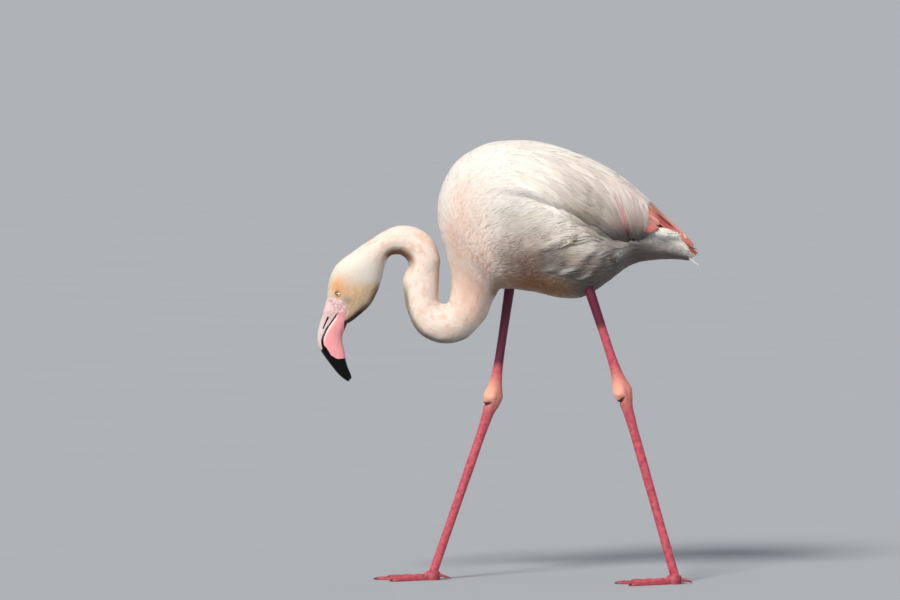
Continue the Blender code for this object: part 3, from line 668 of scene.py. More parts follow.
def eyelids(side):
    """Ring over the ball: its inner edge is an almond of two half ellipses that meet at the
    corners, and its outer edge sinks into the skin. The profile runs out over the top of
    the ring and back under it. Returns the points and how dark the rim is at each."""
    middle, outward, ahead, upward = eye_frame(side)
    turn = np.linspace(0, 2 * math.pi, 72, endpoint=False)[None, :]
    out = np.array([0, 0, .08, .25, .5, .75, 1, 1, .6, .2])[:, None]
    height = np.array([.05, .35, .55, .55, .5, .3, -.6, -1.6, -1.2, -.2])[:, None] * MM
    opening = np.where(np.sin(turn) > 0, LID_UP, LID_DOWN)
    reach = LID_CORNER * opening / np.hypot(opening * np.cos(turn), LID_CORNER * np.sin(turn))
    rim_angle = reach * MM / EYE_RADIUS
    off = rim_angle + out * (LID_SPAN - rim_angle)
    disc = ahead * np.cos(turn)[..., None] + upward * np.sin(turn)[..., None]
    radius = EYE_RADIUS + height
    points = middle + radius[..., None] * (outward * np.cos(off)[..., None] + disc * np.sin(off)[..., None])
    # The rim is dark only along the upper lid, widest at its top: partly the lid's own dark edge, partly
    # painted shade under the brow
    dark_rim_reach = np.where(np.sin(turn) > 0, 0.14 + 0.5 * np.sin(turn), 0.12)
    return points, np.exp(-(out / dark_rim_reach) ** 4) * (0.5 + 0.5 * np.clip(np.sin(turn) * 3, -1, 1))


def ring_faces(profile, around):
    """Triangles of a ring whose closed profile is carried round it."""
    i, j = np.meshgrid(np.arange(profile), np.arange(around), indexing="ij")
    a, b = i * around + j, i * around + (j + 1) % around
    c, d = (i + 1) % profile * around + (j + 1) % around, (i + 1) % profile * around + j
    return quads(a, b, c, d)


for side_name, side in (("left", -1), ("right", 1)):
    ball_points, off = eyeball(side)
    points, faces = closed_tube(ball_points)
    ball = mesh_object(f"eyeball_{side_name}", points, faces, glass)
    set_attribute(ball, "from_pupil", np.concatenate([off.ravel() / (math.pi / 2), [0, 2]]))
    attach(ball, "root")
    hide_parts(f"eye_{side_name}")
    lid_points, rim = eyelids(side)
    lids = mesh_object(f"eyelids_{side_name}", lid_points, ring_faces(*lid_points.shape[:2]), lid_skin)
    set_attribute(lids, "rim", rim.ravel())
    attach(lids, "root")


# Bill: horn over bone, in an upper and a lower half that meet along the bent gape. The
# upper half is a shallow lid with a nostril slit, the lower one a deep pink trough with
# a pale comb of lamellae along its edge, and both end in black.

# Ridge, gape line, lower keel, and half widths of the upper and the lower half
BILL = (
    ((-272.6, 426), (-256.1, 405.3), (-242.6, 388.5), 13.0, 12.8),
    ((-279.4, 403.5), (-263.6, 395.5), (-246.4, 379.5), 12.6, 13.2),
    ((-285.6, 382), (-272.8, 382), (-249.2, 371.5), 12.2, 13.6),
    ((-287.2, 367), (-278.9, 367.5), (-249.8, 364.5), 11.8, 13.6),
    ((-285.4, 354.5), (-278.4, 356.5), (-248.8, 356.5), 11.4, 13.2),
    ((-278.6, 342.8), (-272.8, 347), (-246.5, 347), 10.6, 12.2),
    ((-267.5, 327.5), (-262.6, 331.2), (-244.4, 333), 8.8, 10.0),
    ((-256.1, 313.5), (-252.2, 317.2), (-241.2, 322.5), 6.8, 7.6),
    ((-245.6, 304.6), (-243.2, 308.6), (-237.6, 314), 4.4, 4.8),
    ((-239.8, 302.6), (-238.4, 304.9), (-236.0, 307.4), 1.6, 1.8),
)
BILL_SOCKET = -0.22     # the horn starts inside the face, this far before the first row
BILL_ROWS, BILL_COLUMNS = 380, 49       # points of a half along it and across it
LAMELLA = 1.3 * MM      # spacing of the comb, drawn coarser than a real one so that it shows


def along_bill(column, s):
    """One column of the bill's table at s rows from its base. Before the first row it
    goes straight on."""
    rows = np.array([row[column] for row in BILL], float).reshape(len(BILL), -1) * MM
    inside = np.minimum(s, 0)[:, None] * (rows[1] - rows[0])
    return smooth(np.arange(len(BILL)), rows, s) + inside


def bill_half(edge_column, width_column):
    """Half of the bill as a grid. Its cross-section is an arch on the gape line, out
    by width x cos(arch) and up to the edge by sin(arch) ^ 0.75. Returns the points, the
    rows, the arch angles, and each point's distance from the gape's edge."""
    s = np.linspace(BILL_SOCKET, len(BILL) - 1, BILL_ROWS)
    f = np.linspace(0.0, 1.0, BILL_COLUMNS)
    arch = np.pi * step(f) * 0.4 + np.pi * f * 0.6
    edge, gape, width = along_bill(edge_column, s), along_bill(1, s), along_bill(width_column, s)
    arm = edge - gape
    foot = gape + unit(arm) * 0.2 * MM
    rise = np.sin(arch) ** 0.75
    points = np.stack([foot[:, :1] + (edge - foot)[:, :1] * rise, width * np.cos(arch),
                       foot[:, 1:] + (edge - foot)[:, 1:] * rise], axis=-1)
    lengths = np.linalg.norm(np.diff(points, axis=1), axis=-1)
    first = np.concatenate([np.zeros((len(s), 1)), np.cumsum(lengths, axis=1)], axis=1)
    return points, s[:, None], arch[None, :], np.minimum(first, first[:, -1:] - first)


def horn_normals(points):
    """Outward normals of one half's grid: along its rows crossed with along its columns,
    turned so that the one in the middle points away from the gape."""
    normals = unit(np.cross(np.gradient(points, axis=0), np.gradient(points, axis=1)))
    row, column = points.shape[0] // 2, points.shape[1] // 2
    return normals * np.sign(normals[row, column] @ (points[row, column] - points[row, 0]))


def bill_material(name, base, ridge, pale, roughness, cover):
    """Horn: keratin with fine lengthwise grain over pink tissue, black where it is
    pigmented, and black in the nostril slits as painted shade. The attribute horn holds
    blackness, paleness and what covers its base, whose three colours are cover: spotted
    skin above, and on the chin velvet darkened with painted shade."""
    horn = new_material(name)
    read = add(horn, "ShaderNodeAttribute", attribute_name="horn")
    parts = add(horn, "ShaderNodeSeparateXYZ", {0: read.outputs["Vector"]})
    along = add(horn, "ShaderNodeAttribute", attribute_name="grain")
    spread = add(horn, "ShaderNodeMapping", {"Vector": along.outputs["Vector"], "Scale": (90, 700, 1)})
    grain = add(horn, "ShaderNodeTexNoise", {"Vector": spread.outputs[0], "Scale": 1.0, "Detail": 4.0})
    flesh = add(horn, "ShaderNodeMix", {0: grain.outputs[0], 6: base, 7: ridge},
                data_type="RGBA")
    rimmed = add(horn, "ShaderNodeMix", {0: parts.outputs[1], 6: flesh.outputs[2], 7: pale},
                 data_type="RGBA")
    metres = add(horn, "ShaderNodeTexCoord").outputs["Object"]
    speckle = add(horn, "ShaderNodeTexNoise", {"Vector": metres, "Scale": 800.0, "Detail": 2.0})
    fringe = add(horn, "ShaderNodeMath", {0: speckle.outputs[0], 1: 0.9, 2: -0.45}, operation="MULTIPLY_ADD")
    ragged = add(horn, "ShaderNodeMath", {0: parts.outputs[0], 1: fringe.outputs[0]}, operation="ADD")
    black = add(horn, "ShaderNodeMapRange", {"Value": ragged.outputs[0], 1: 0.42, 2: 0.58})
    pores = add(horn, "ShaderNodeTexVoronoi", {"Vector": metres, "Scale": 260.0})
    mauve = add(horn, "ShaderNodeMapRange", {"Value": pores.outputs["Distance"], 1: 0.1, 2: 0.4,
                                             3: 0.6, 4: 0.0})
    blotch = add(horn, "ShaderNodeTexNoise", {"Vector": metres, "Scale": 300.0, "Detail": 3.0})
    blush = add(horn, "ShaderNodeMix", {0: blotch.outputs[0], 6: cover[0], 7: cover[1]},
                data_type="RGBA")
    dotted = add(horn, "ShaderNodeMix", {0: mauve.outputs[0], 6: blush.outputs[2], 7: cover[2]},
                 data_type="RGBA")
    spotted = add(horn, "ShaderNodeMix", {0: parts.outputs[2], 6: rimmed.outputs[2], 7: dotted.outputs[2]},
                  data_type="RGBA")
    shown = add(horn, "ShaderNodeMix", {0: black.outputs[0], 6: spotted.outputs[2], 7: "#050405"},
                data_type="RGBA")
    relief = add(horn, "ShaderNodeBump", {"Strength": 0.25, "Distance": 0.0003, "Height": grain.outputs[0]})
    gloss = add(horn, "ShaderNodeMapRange", {"Value": grain.outputs[0], 3: roughness - 0.06,
                                             4: roughness + 0.06})
    add(horn, "Principled BSDF", {"Base Color": shown.outputs[2], "Roughness": gloss.outputs[0],
                                  "Normal": relief.outputs[0], "Subsurface Weight": 0.08,
                                  "Subsurface Scale": 0.002, "Specular IOR Level": 0.2})
    return horn


def place_bill(name, points, horn, grain, material, node):
    """Closes one half of the bill and hangs it in the frame."""
    closed, faces = closed_tube(points)
    half = mesh_object(name, closed, faces, material, 70)
    set_attribute(half, "horn", np.concatenate([horn.reshape(-1, 3), horn[0, :1], horn[-1, :1]]))
    set_attribute(half, "grain", np.concatenate([grain.reshape(-1, 3), grain[0, :1], grain[-1, :1]]))
    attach(half, "root")
    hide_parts(node)


def run_length(points):
    """Distance of each row of a grid from its first row, along the ridge."""
    ridge = points[:, points.shape[1] // 2]
    return np.concatenate([[0], np.cumsum(np.linalg.norm(np.diff(ridge, axis=0), axis=1))])[:, None]


# Upper half: a nostril slit each side, from row 1 to row 2, in a shallow long groove. The slit
# is painted black, as the shade inside it
points, s, arch, from_gape = bill_half(0, 3)
lengthwise = run_length(points)
slit_arch = math.radians(21)
across_slit = np.minimum(np.abs(arch - slit_arch), np.abs(arch - math.pi + slit_arch)) * 12 * MM
slit = np.exp(-(across_slit / (1.2 * MM)) ** 4) * band(s, 0.9, 1.05, 1.95, 2.15)
groove = np.exp(-((across_slit - 2.4 * MM) / (0.9 * MM)) ** 2) * band(s, 0.5, 0.9, 3.0, 4.4)
cere = step((0.12 + 0.75 * np.sin(arch) - s) / 0.3 + 0.5)
fold = np.sin((lengthwise + 0.3 * from_gape) * 2 * math.pi / (2.9 * MM)) * cere
points = points + horn_normals(points) * ((0.22 * fold - 1.5 * slit - 0.3 * groove) * MM)[..., None]
tip = step((s - 4.42 + 0.35 * (1 - np.sin(arch)) ** 2) / 0.22)
edge_line = step((1.25 * MM * (0.45 + 0.3 * np.clip(s, 0, 4)) - from_gape) / (0.4 * MM) + 0.5)
blackness = np.maximum(np.maximum(tip, edge_line), slit)
pale = band(s, 0.4, 2.4, 4.2, 5.0) * (0.4 + 0.5 * np.sin(arch) ** 4)
horn = np.stack([blackness, pale, cere], axis=-1)
grain = np.stack([np.broadcast_to(lengthwise, pale.shape), from_gape, np.zeros_like(pale)], axis=-1)
upper_horn = bill_material("upper bill horn", "#bf9fa3", "#d3bcb9", "#e2d6d3", 0.42,
                           ("#cfa0a4", "#f0dad3", "#9d6f7c"))
place_bill("upper_bill", points, horn, grain, upper_horn, "bill_upper")

# Lower half: its edge swells over the gape, with the comb on it
points, s, arch, from_gape = bill_half(2, 4)
lengthwise = run_length(points)
comb_zone = np.exp(-((from_gape - 1.3 * MM) / (1.0 * MM)) ** 2) * band(s, 0.3, 0.8, 3.4, 4.4)
comb = comb_zone * 0.16 * np.sin(lengthwise * 2 * math.pi / LAMELLA)
swell = np.exp(-((from_gape - 2.2 * MM) / (2.2 * MM)) ** 2) * band(s, 0.2, 1.0, 5.0, 7.0) * 0.5
points = points + horn_normals(points) * ((comb + swell) * MM)[..., None]
tip = step((s - 4.85 - 0.75 * np.clip(from_gape / (9 * MM), 0, 1) ** 0.6) / 0.2)
edge_line = step((0.75 * MM * (0.9 + 0.75 * np.clip(s - 0.6, 0, 4)) - from_gape) / (0.4 * MM) + 0.5)
blackness = np.maximum(tip, edge_line * band(s, 0.1, 0.6, 8, 9.5))
pale = np.exp(-((from_gape - 2.6 * MM) / (2.0 * MM)) ** 2) * band(s, 0.2, 0.8, 2.4, 4.2) * 0.85
chin = step((np.sin(arch) ** 0.75 - 0.70 - 0.26 * np.clip(s, 0, 1.2)) / 0.06 + 0.5) * step((1.2 - s) / 0.2)
horn = np.stack([blackness, pale, chin], axis=-1)
grain = np.stack([np.broadcast_to(lengthwise, pale.shape), from_gape, np.zeros_like(pale)], axis=-1)
# The lower half's base is covered by the chin's velvet, in dark colours that are painted shade
lower_horn = bill_material("lower bill horn", "#e8838d", "#f9babb", "#fbece7", 0.45,
                           ("#3f242e", "#5c3b38", "#2e1820"))
place_bill("lower_bill", points, horn, grain, lower_horn, "bill_lower")


# Legs: scaled skin over bone and tendon, in one piece from the thigh to the webbed toes.
# A tube follows the shank, the ankle and the tarsus, then opens out over the foot to the
# edge of toes and web and closes under the sole.

HIP_SPREAD = 30.0
FOOT_SPREAD = 36.0
LEGS = {
    "left": dict(side=-1, hip=(116.6, 452), ankle=(170.5, 288), foot=(248, 14)),
    "right": dict(side=1, hip=(2.0, 452), ankle=(-23.5, 276), foot=(-114, 14)),
}
# Distance below the ankle's middle, half depth fore and aft, half width sideways
LEG_FORM = (
    (-175, 7.9, 6.8), (-125, 7.0, 6.2), (-85, 6.6, 5.8), (-50, 7.2, 6.0), (-26, 9.2, 7.4),
    (-10, 12.0, 9.6), (1, 13.3, 10.4), (11, 12.0, 9.6), (20, 9.4, 7.8), (40, 7.7, 6.0),
    (110, 6.9, 5.2), (220, 6.5, 5.0), (300, 7.0, 5.8),
)
ANKLE_BEND = 14.0
# Angle from straight ahead (outwards is positive), length, half width at the base
TOES = ((-28, 74, 5.0), (0, 90, 5.5), (29, 80, 5.0))
HIND_TOE = dict(angle=180, start=9.0, end=27.0, heights=(8.0, 2.8), radii=(2.7, 1.1))
WEB_REACH = 0.84
WEB_THICKNESS = 2.0
SOLE_RADIUS = 10.0
HUB_HEIGHT = 14.0
SCUTE = 4.6             # height of one horny plate on the shin


def leg_path(leg, below):
    """Middle line of the leg and its unit direction down, in millimetres: two straight
    lines joined by a hyperbola whose bend is rounded over ANKLE_BEND."""
    side = leg["side"]
    ankle = np.array([leg["ankle"][0], side * (HIP_SPREAD + FOOT_SPREAD) / 2, leg["ankle"][1]])
    hip = np.array([leg["hip"][0], side * HIP_SPREAD, leg["hip"][1]])
    foot = np.array([leg["foot"][0], side * FOOT_SPREAD, leg["foot"][1]])
    upper, lower = unit(ankle - hip), unit(foot - ankle)
    below = np.asarray(below)[:, None]
    spread = np.sqrt(below ** 2 + ANKLE_BEND ** 2)
    points = ankle + upper * (below - spread) / 2 + lower * (below + spread) / 2
    points = points - (lower - upper) * ANKLE_BEND / 2
    return points, unit(upper * (1 - below / spread) / 2 + lower * (1 + below / spread) / 2)


def toe_reach(turn, angle, length, half):
    """Edge of one toe in polar form: its side is half / |sin|, its tip the length, and
    the two join in a round end."""
    delta = np.clip(np.abs((turn - math.radians(angle) + math.pi) % (2 * math.pi) - math.pi), 0, 1.5)
    return (((np.sin(delta) + 1e-6) / half) ** 5 + (1 / length) ** 5) ** -0.2


def foot_reach(turn):
    """Edge of the foot round its hub: the farthest of sole, toes, hind toe and the webs,
    which hang between the toes in a hollow curve."""
    reach = np.full_like(turn, SOLE_RADIUS)
    for angle, length, half in TOES:
        reach = np.maximum(reach, toe_reach(turn, angle, length * 0.95, half * 0.95))
    for (first, length, _), (last, next_length, _) in zip(TOES, TOES[1:]):
        f = (np.degrees(turn) - first) / (last - first)
        web = WEB_REACH * (length * (1 - f) + next_length * f) * (1 - 0.13 * np.sin(np.pi * np.clip(f, 0, 1)))
        reach = np.where((f > 0) & (f < 1), np.maximum(reach, web), reach)
    return np.maximum(reach, toe_reach(turn, HIND_TOE["angle"], HIND_TOE["end"], 2.4))


def foot_top(x, y):
    """Height of the foot's upper side over a point x ahead and y outwards: the domed
    hub, a round scaled ridge along each toe that sinks to its tip, and the thin web."""
    r = np.hypot(x, y)
    height = np.full_like(r, WEB_THICKNESS * 0.8)
    for angle, length, half in TOES:
        a = math.radians(angle)
        along = x * math.cos(a) + y * math.sin(a)
        aside = np.abs(-x * math.sin(a) + y * math.cos(a))
        f = np.clip(along / length, 0, 1)
        plates = 0.05 * np.abs(np.sin(math.pi * along / SCUTE)) ** 12
        knuckle = 1 + 0.07 * np.cos(2 * math.pi * along / (length / 3.5)) - plates
        rounded = np.sqrt(np.clip(1 - (aside / (half * (1.15 - 0.4 * f))) ** 2, 0, 1))
        ridge = (9.5 - 5.0 * f) * knuckle * rounded
        height = np.maximum(height, np.where(along > 0, ridge, 0))
    fall = step((r - 7.0) / 13)
    height = np.maximum(height, HUB_HEIGHT * (1 - fall) + 3 * fall)
    return np.where((x < -SOLE_RADIUS) & (r > SOLE_RADIUS), hind_toe(x, y, 1), height)


def hind_toe(x, y, sign):
    """Height of the hind toe's upper (1) or lower (-1) side: a cone that sinks back."""
    f = np.clip((-x - HIND_TOE["start"]) / (HIND_TOE["end"] - HIND_TOE["start"]), 0, 1)
    middle = HIND_TOE["heights"][0] * (1 - f) + HIND_TOE["heights"][1] * f
    radius = HIND_TOE["radii"][0] * (1 - f) + HIND_TOE["radii"][1] * f
    return middle + sign * radius * np.sqrt(np.clip(1 - (y / (radius * 1.05)) ** 2, 0.02, 1))


def foot_turns(count):
    """Angles round the hub, closer where the foot's edge runs fast, between -pi and pi."""
    turn = np.linspace(-math.pi, math.pi, 4001)
    reach = foot_reach(turn)
    travel = np.hypot(np.diff(reach), 0.5 * (reach[1:] + reach[:-1]) * np.diff(turn)) + 60 * np.diff(turn)
    share = np.concatenate([[0], np.cumsum(travel)]) / travel.sum()
    return np.interp(np.arange(count) / count, share, turn)


def leg_surface(leg, turn):
    """Rows of points down the leg, out over the foot and in under the sole. Returns the
    points, their distance below the ankle, and how far each lies out on the foot."""
    side = leg["side"]
    top = -np.linalg.norm(np.subtract(leg["hip"], leg["ankle"]))
    span = np.linalg.norm(np.subtract(leg["foot"], leg["ankle"]))
    below = np.concatenate([np.linspace(top, -34, 90)[:-1], np.linspace(-34, 30, 70)[:-1],
                            np.linspace(30, span, 190)])
    places, depth, width = zip(*LEG_FORM)
    middle, down = leg_path(leg, below)
    depth, width = np.moveaxis(smooth(places, np.stack([depth, width], axis=1), below), -1, 0)
    back = unit(np.cross(down, np.array([0.0, 1.0, 0.0])))
    aside = np.cross(back, down) * side
    knob = 0.9 * np.exp(-((below + 4) / 7) ** 2)[:, None] * np.cos(2 * turn) ** 2
    across, out = depth[:, None] * np.cos(turn), width[:, None] * np.sin(turn)
    plates = scutes(below[:, None], turn[None, :])
    swell = 1 + (knob + plates) / 8
    tube = (middle[:, None, :] - back[:, None, :] * (across * swell)[..., None]
            + aside[:, None, :] * (out * swell)[..., None])
    level = step((below - span + 40) / 40)[:, None] * (middle[:, 2:] - tube[..., 2]) / down[:, 2:]
    tube = tube + down[:, None, :] * level[..., None]

    reach = foot_reach(turn)
    hub = np.hypot(tube[-1, :, 0] - leg["foot"][0], np.abs(tube[-1, :, 1]) - FOOT_SPREAD)
    top_rows, sole_rows = 33, 20
    shares = np.concatenate([np.linspace(0, 1, top_rows + 1)[1:] ** 1.15, [1.0],
                             np.linspace(0.985, 0.1, sole_rows)])
    radius = hub + (reach - hub) * shares[:, None]
    ahead, aside = radius * np.cos(turn), radius * np.sin(turn)
    height = foot_top(ahead, aside)
    edge = np.minimum(height[top_rows - 1], np.where(reach > 30, 2.2, 4.5))
    sole = np.where(ahead < -SOLE_RADIUS * 0.98, hind_toe(ahead, aside, -1), 0.0)
    height[top_rows:] = sole[top_rows:]
    height[top_rows - 1] = np.where(sole[top_rows - 1] > 0, height[top_rows - 1], edge)
    height[top_rows] = np.maximum(sole[top_rows], 0.6)
    foot = np.stack([leg["foot"][0] - ahead, side * (FOOT_SPREAD + aside), height], axis=-1)
    rows = np.concatenate([tube, foot]) * MM
    depth_below = np.concatenate([below, span + 5 + 80 * np.linspace(0, 1, len(shares))])
    out_on_foot = np.concatenate([np.zeros(len(below)), np.clip(np.linspace(0, 2, len(shares)), 0, 1)])
    return rows, depth_below, out_on_foot


def scutes(below, turn):
    """Relief of the leg's skin, in millimetres: a groove round the front of the shin each
    SCUTE, the same half a plate lower at the back, and at the ankle a fine net, a few
    folds, one deep crease in front, and a knob and a tendon's groove on each side."""
    front = np.exp(-(np.sin(math.pi * below / SCUTE) / 0.22) ** 2) * step((1.25 - np.abs(turn)) / 0.4)
    rear = np.exp(-(np.sin(math.pi * (below / SCUTE + 0.5)) / 0.22) ** 2) * step((np.abs(turn) - 2.0) / 0.4)
    ankle = np.exp(-(below / 24) ** 4)
    net = np.abs(np.sin(math.pi * (below / 3.4 + turn * 1.9)) * np.sin(math.pi * (below / 3.4 - turn * 1.9)))
    folds = np.cos(2 * math.pi * below / 3.3 + 0.8 * np.sin(turn)) * np.exp(-((below - 22) / 9) ** 2)
    tendon = np.exp(-((np.abs(turn) - 1.95) / 0.2) ** 2) * np.exp(-((below - 4) / 14) ** 2)
    crease = np.exp(-((below - 8 - 6 * np.cos(turn)) / 2.2) ** 2) * step((1.9 - np.abs(turn)) / 0.9)
    knob = np.exp(-(((np.abs(turn) - 1.15) * 11) ** 2 + (below - 2) ** 2) / 4.6 ** 2)
    folds = 0.3 * folds * step((2.2 - np.abs(turn)) / 0.8)
    return (1.7 * knob - 0.28 * (front + rear) * (1 - ankle) + 0.5 * (net ** 0.5 - 0.6) * ankle - folds
            - 2.2 * crease - 0.35 * tendon)


# Scutes: firm pink skin, mottled darker, peach round the ankle, and darker in its grooves
# and the ankle's crease as painted shade.
# The upper shanks are painted in the crimson of the body's shade, which isn't a marking.
scaled = new_material("scaled pink leg skin")
where = add(scaled, "ShaderNodeAttribute", attribute_name="leg")
parts = add(scaled, "ShaderNodeSeparateXYZ", {0: where.outputs["Vector"]})
metres = add(scaled, "ShaderNodeTexCoord").outputs["Object"]
mottle = add(scaled, "ShaderNodeTexNoise", {"Vector": metres, "Scale": 160.0, "Detail": 4.0})
blotches = add(scaled, "ShaderNodeMapRange", {"Value": mottle.outputs[0], 1: 0.36, 2: 0.62})
pink = add(scaled, "ShaderNodeMix", {0: blotches.outputs[0], 6: "#ac3b4f", 7: "#c65865"},
           data_type="RGBA")
dusty = add(scaled, "ShaderNodeMix", {0: parts.outputs[0], 6: pink.outputs[2], 7: "#f6b79c"},
            data_type="RGBA")
shaded = add(scaled, "ShaderNodeMix", {0: parts.outputs[2], 6: dusty.outputs[2], 7: "#5e0a30"},
             data_type="RGBA")
groove = add(scaled, "ShaderNodeMix", {0: parts.outputs[1], 6: shaded.outputs[2], 7: "#5c1a2a"},
             data_type="RGBA")
netting = add(scaled, "ShaderNodeTexVoronoi", {"Vector": metres, "Scale": 420.0}, feature="DISTANCE_TO_EDGE")
fine = add(scaled, "ShaderNodeMapRange", {"Value": netting.outputs["Distance"], 2: 0.12})
relief = add(scaled, "ShaderNodeBump", {"Strength": 0.45, "Distance": 0.0004, "Height": fine.outputs[0]})
add(scaled, "Principled BSDF", {"Base Color": groove.outputs[2], "Roughness": 0.48,
                                "Normal": relief.outputs[0], "Subsurface Weight": 0.1,
                                "Subsurface Scale": 0.002})

# Claw horn: smooth and worn, so darker and glossier than the toes
nail = new_material("dark horn of the claws")
metres = add(nail, "ShaderNodeTexCoord").outputs["Object"]
nail_noise = add(nail, "ShaderNodeTexNoise", {"Vector": metres, "Scale": 500.0, "Detail": 3.0})
nail_tone = add(nail, "ShaderNodeMix", {0: nail_noise.outputs[0], 6: "#2a1c1d",
                                        7: "#4a3231"}, data_type="RGBA")
add(nail, "Principled BSDF", {"Base Color": nail_tone.outputs[2], "Roughness": 0.35})


def claw_rings(leg, angle, length, half):
    """A short blunt nail on a toe: rings that shrink towards the tip and bend down."""
    f = np.linspace(0, 1, 9)[:, None]
    turn = np.linspace(0, 2 * math.pi, 16, endpoint=False)[None, :]
    radius = half * 0.42 * (1 - f ** 2.2) ** 0.5 + 0.05
    along = length * (0.90 + 0.10 * f)
    a = math.radians(angle)
    aside = radius * np.cos(turn)
    height = 3.0 - 1.7 * f ** 1.5 + radius * 0.75 * np.sin(turn)
    ahead = along * math.cos(a) - aside * math.sin(a)
    out = along * math.sin(a) + aside * math.cos(a)
    return np.stack([leg["foot"][0] - ahead, leg["side"] * (FOOT_SPREAD + out), height], axis=-1) * MM


def merged(pieces):
    """Several (points, triangles) as one."""
    offsets = np.cumsum([0] + [len(points) for points, _ in pieces[:-1]])
    return (np.concatenate([points for points, _ in pieces]),
            np.concatenate([faces + offset for (_, faces), offset in zip(pieces, offsets)]))


for side_name, leg in LEGS.items():
    turn = foot_turns(112)
    rows, below, out_on_foot = leg_surface(leg, turn)
    points, faces = closed_tube(rows)
    limb = mesh_object(f"leg_skin_{side_name}", points, faces, scaled, 80)
    ankle_tint = np.exp(-((below + 6) / 22) ** 2)[:, None] * (0.7 + 0.3 * np.cos(turn))
    # The body's shade ends 94 mm above the left ankle and 42 mm above the right one
    shade_end = -68 + 26 * leg["side"]
    crimson = np.broadcast_to(step((shade_end - below) / 16)[:, None], ankle_tint.shape)
    # Painted shade: darker the deeper the skin's grooves, most in the ankle's crease. The foot is a little
    # darker out to its edge and under the sole
    dark = np.clip(-scutes(below[:, None], turn[None, :]) * 1.3, 0, 1) * (1 - out_on_foot)[:, None]
    dark = np.maximum(dark, 0.35 * out_on_foot[:, None])
    leg_values = np.stack([ankle_tint, dark, crimson], axis=-1).reshape(-1, 3)
    set_attribute(limb, "leg", np.concatenate([leg_values, leg_values[:1], leg_values[-1:]]))
    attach(limb, "root")
    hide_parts(f"shank_{side_name}", f"ankle_{side_name}", f"tarsus_{side_name}",
                f"foot_{side_name}", f"hind_toe_{side_name}")
    claws = merged([closed_tube(claw_rings(leg, *toe)) for toe in TOES])
    claws = mesh_object(f"claws_{side_name}", *claws, nail)
    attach(claws, "root")


# Coat: every feather is its own thin closed vane, laid over the body from its root in
# the skin to its tip on the coat's surface, so each covers the roots of those behind
# it. A vane's root keeps one small patch of the skin's unwrap for its colours.

TUFT_PATCH = 0.003
VANE_CREASE = 75        # degrees past which the bend between two faces stays sharp


# Parts of 1 that spread points evenly over a square: one over the root of x^3 = x + 1, and
# one over its square
EVEN_STEPS = (0.7548776662466927, 0.5698402909980532)


def scatter(count, weight):
    """Roots spread evenly by area over the coat, times a weight by place. Equal steps fill
    the unit square, and the two shares of each point pick t and then the angle."""
    t_edge, a_edge = np.linspace(0, END, 401), np.linspace(0, 2 * math.pi, 241)
    t, angle = np.meshgrid((t_edge[1:] + t_edge[:-1]) / 2, (a_edge[1:] + a_edge[:-1]) / 2, indexing="ij")
    _, along, around = coat_frame(t, angle)
    area = np.linalg.norm(np.cross(along, around), axis=-1) * weight(t, angle)
    rows = np.concatenate([[0], np.cumsum(area.sum(axis=1))])
    share_t, share_a = ((0.5 + np.arange(count) * stride) % 1 for stride in EVEN_STEPS)
    at_t = np.interp(share_t, rows / rows[-1], t_edge)
    row = np.clip(np.searchsorted(t_edge, at_t) - 1, 0, len(area) - 1)
    columns = np.concatenate([np.zeros((len(area), 1)), np.cumsum(area, axis=1)], axis=1)
    columns = (columns / np.maximum(columns[:, -1:], 1e-15))[row]
    cell = np.clip((columns < share_a[:, None]).sum(axis=1) - 1, 0, len(a_edge) - 2)
    low, high = (np.take_along_axis(columns, (cell + i)[:, None], 1)[:, 0] for i in (0, 1))
    at_a = a_edge[cell] + (share_a - low) / np.maximum(high - low, 1e-12) * (a_edge[1] - a_edge[0])
    return at_t, at_a


def lay(t, angle, length, droop, stations, follow=1.0):
    """Middle line of each feather: from its root it takes equal steps over the coat's
    surface, along the coat's lie and turned by droop towards the belly. Returns for each
    station its place (t, angle), point, outward normal and heading."""
    t, angle = t.copy(), angle.copy()
    stride = length / (stations - 1)
    steps = []
    for _ in range(stations):
        toward = np.where(np.sin(angle) >= 0, 1.0, -1.0) * (droop + follow * lie(t, angle))
        normal, along, around = coat_frame(t, angle)
        tailwards = -unit(along)
        sideways = unit(around - tailwards * np.sum(around * tailwards, -1, keepdims=True))
        heading = tailwards * np.cos(toward)[:, None] + sideways * np.sin(toward)[:, None]
        steps.append((t.copy(), angle.copy(), coat_point(t, angle), normal, heading))
        turn = stride * np.sin(toward) / np.maximum(np.sum(around * sideways, -1), 1e-3)
        ahead = stride * np.cos(toward) - turn * np.sum(around * tailwards, -1)
        t = t - ahead / np.linalg.norm(along, axis=-1)
        angle = angle + turn
    return [np.stack(values, axis=1) for values in zip(*steps)]


def within(roots, length, droop, region, follow=1.0):
    """Feather lengths in millimetres, cut at the first sixteenth where their middle lines
    are outside a region. At least one sixteenth stays."""
    parts = 16
    at_t, at_a = lay(*roots, length * MM, droop, parts + 1, follow)[:2]
    gone = ~region(at_t, at_a)
    kept = np.clip(np.where(gone.any(axis=1), gone.argmax(axis=1), parts), 1, None)
    return length * kept / parts


def vane_faces(stations, rails, count):
    """Triangles of count vanes. Each has a root point, rings of rails and a tip point."""
    rings = stations - 2
    k, j = np.meshgrid(np.arange(rings - 1), np.arange(rails), indexing="ij")
    a, b = 1 + k * rails + j, 1 + k * rails + (j + 1) % rails
    c, d = b + rails, a + rails
    j = np.arange(rails)
    first, last, tip = 1 + j, 1 + (rings - 1) * rails + j, 1 + rings * rails
    root_fan = np.stack([0 * j, np.roll(first, -1), first], -1)
    tip_fan = np.stack([last, np.roll(last, -1), 0 * j + tip], -1)
    one = np.concatenate([quads(a, b, c, d), root_fan, tip_fan])
    return (one[None] + (np.arange(count) * (tip + 1))[:, None, None]).reshape(-1, 3)


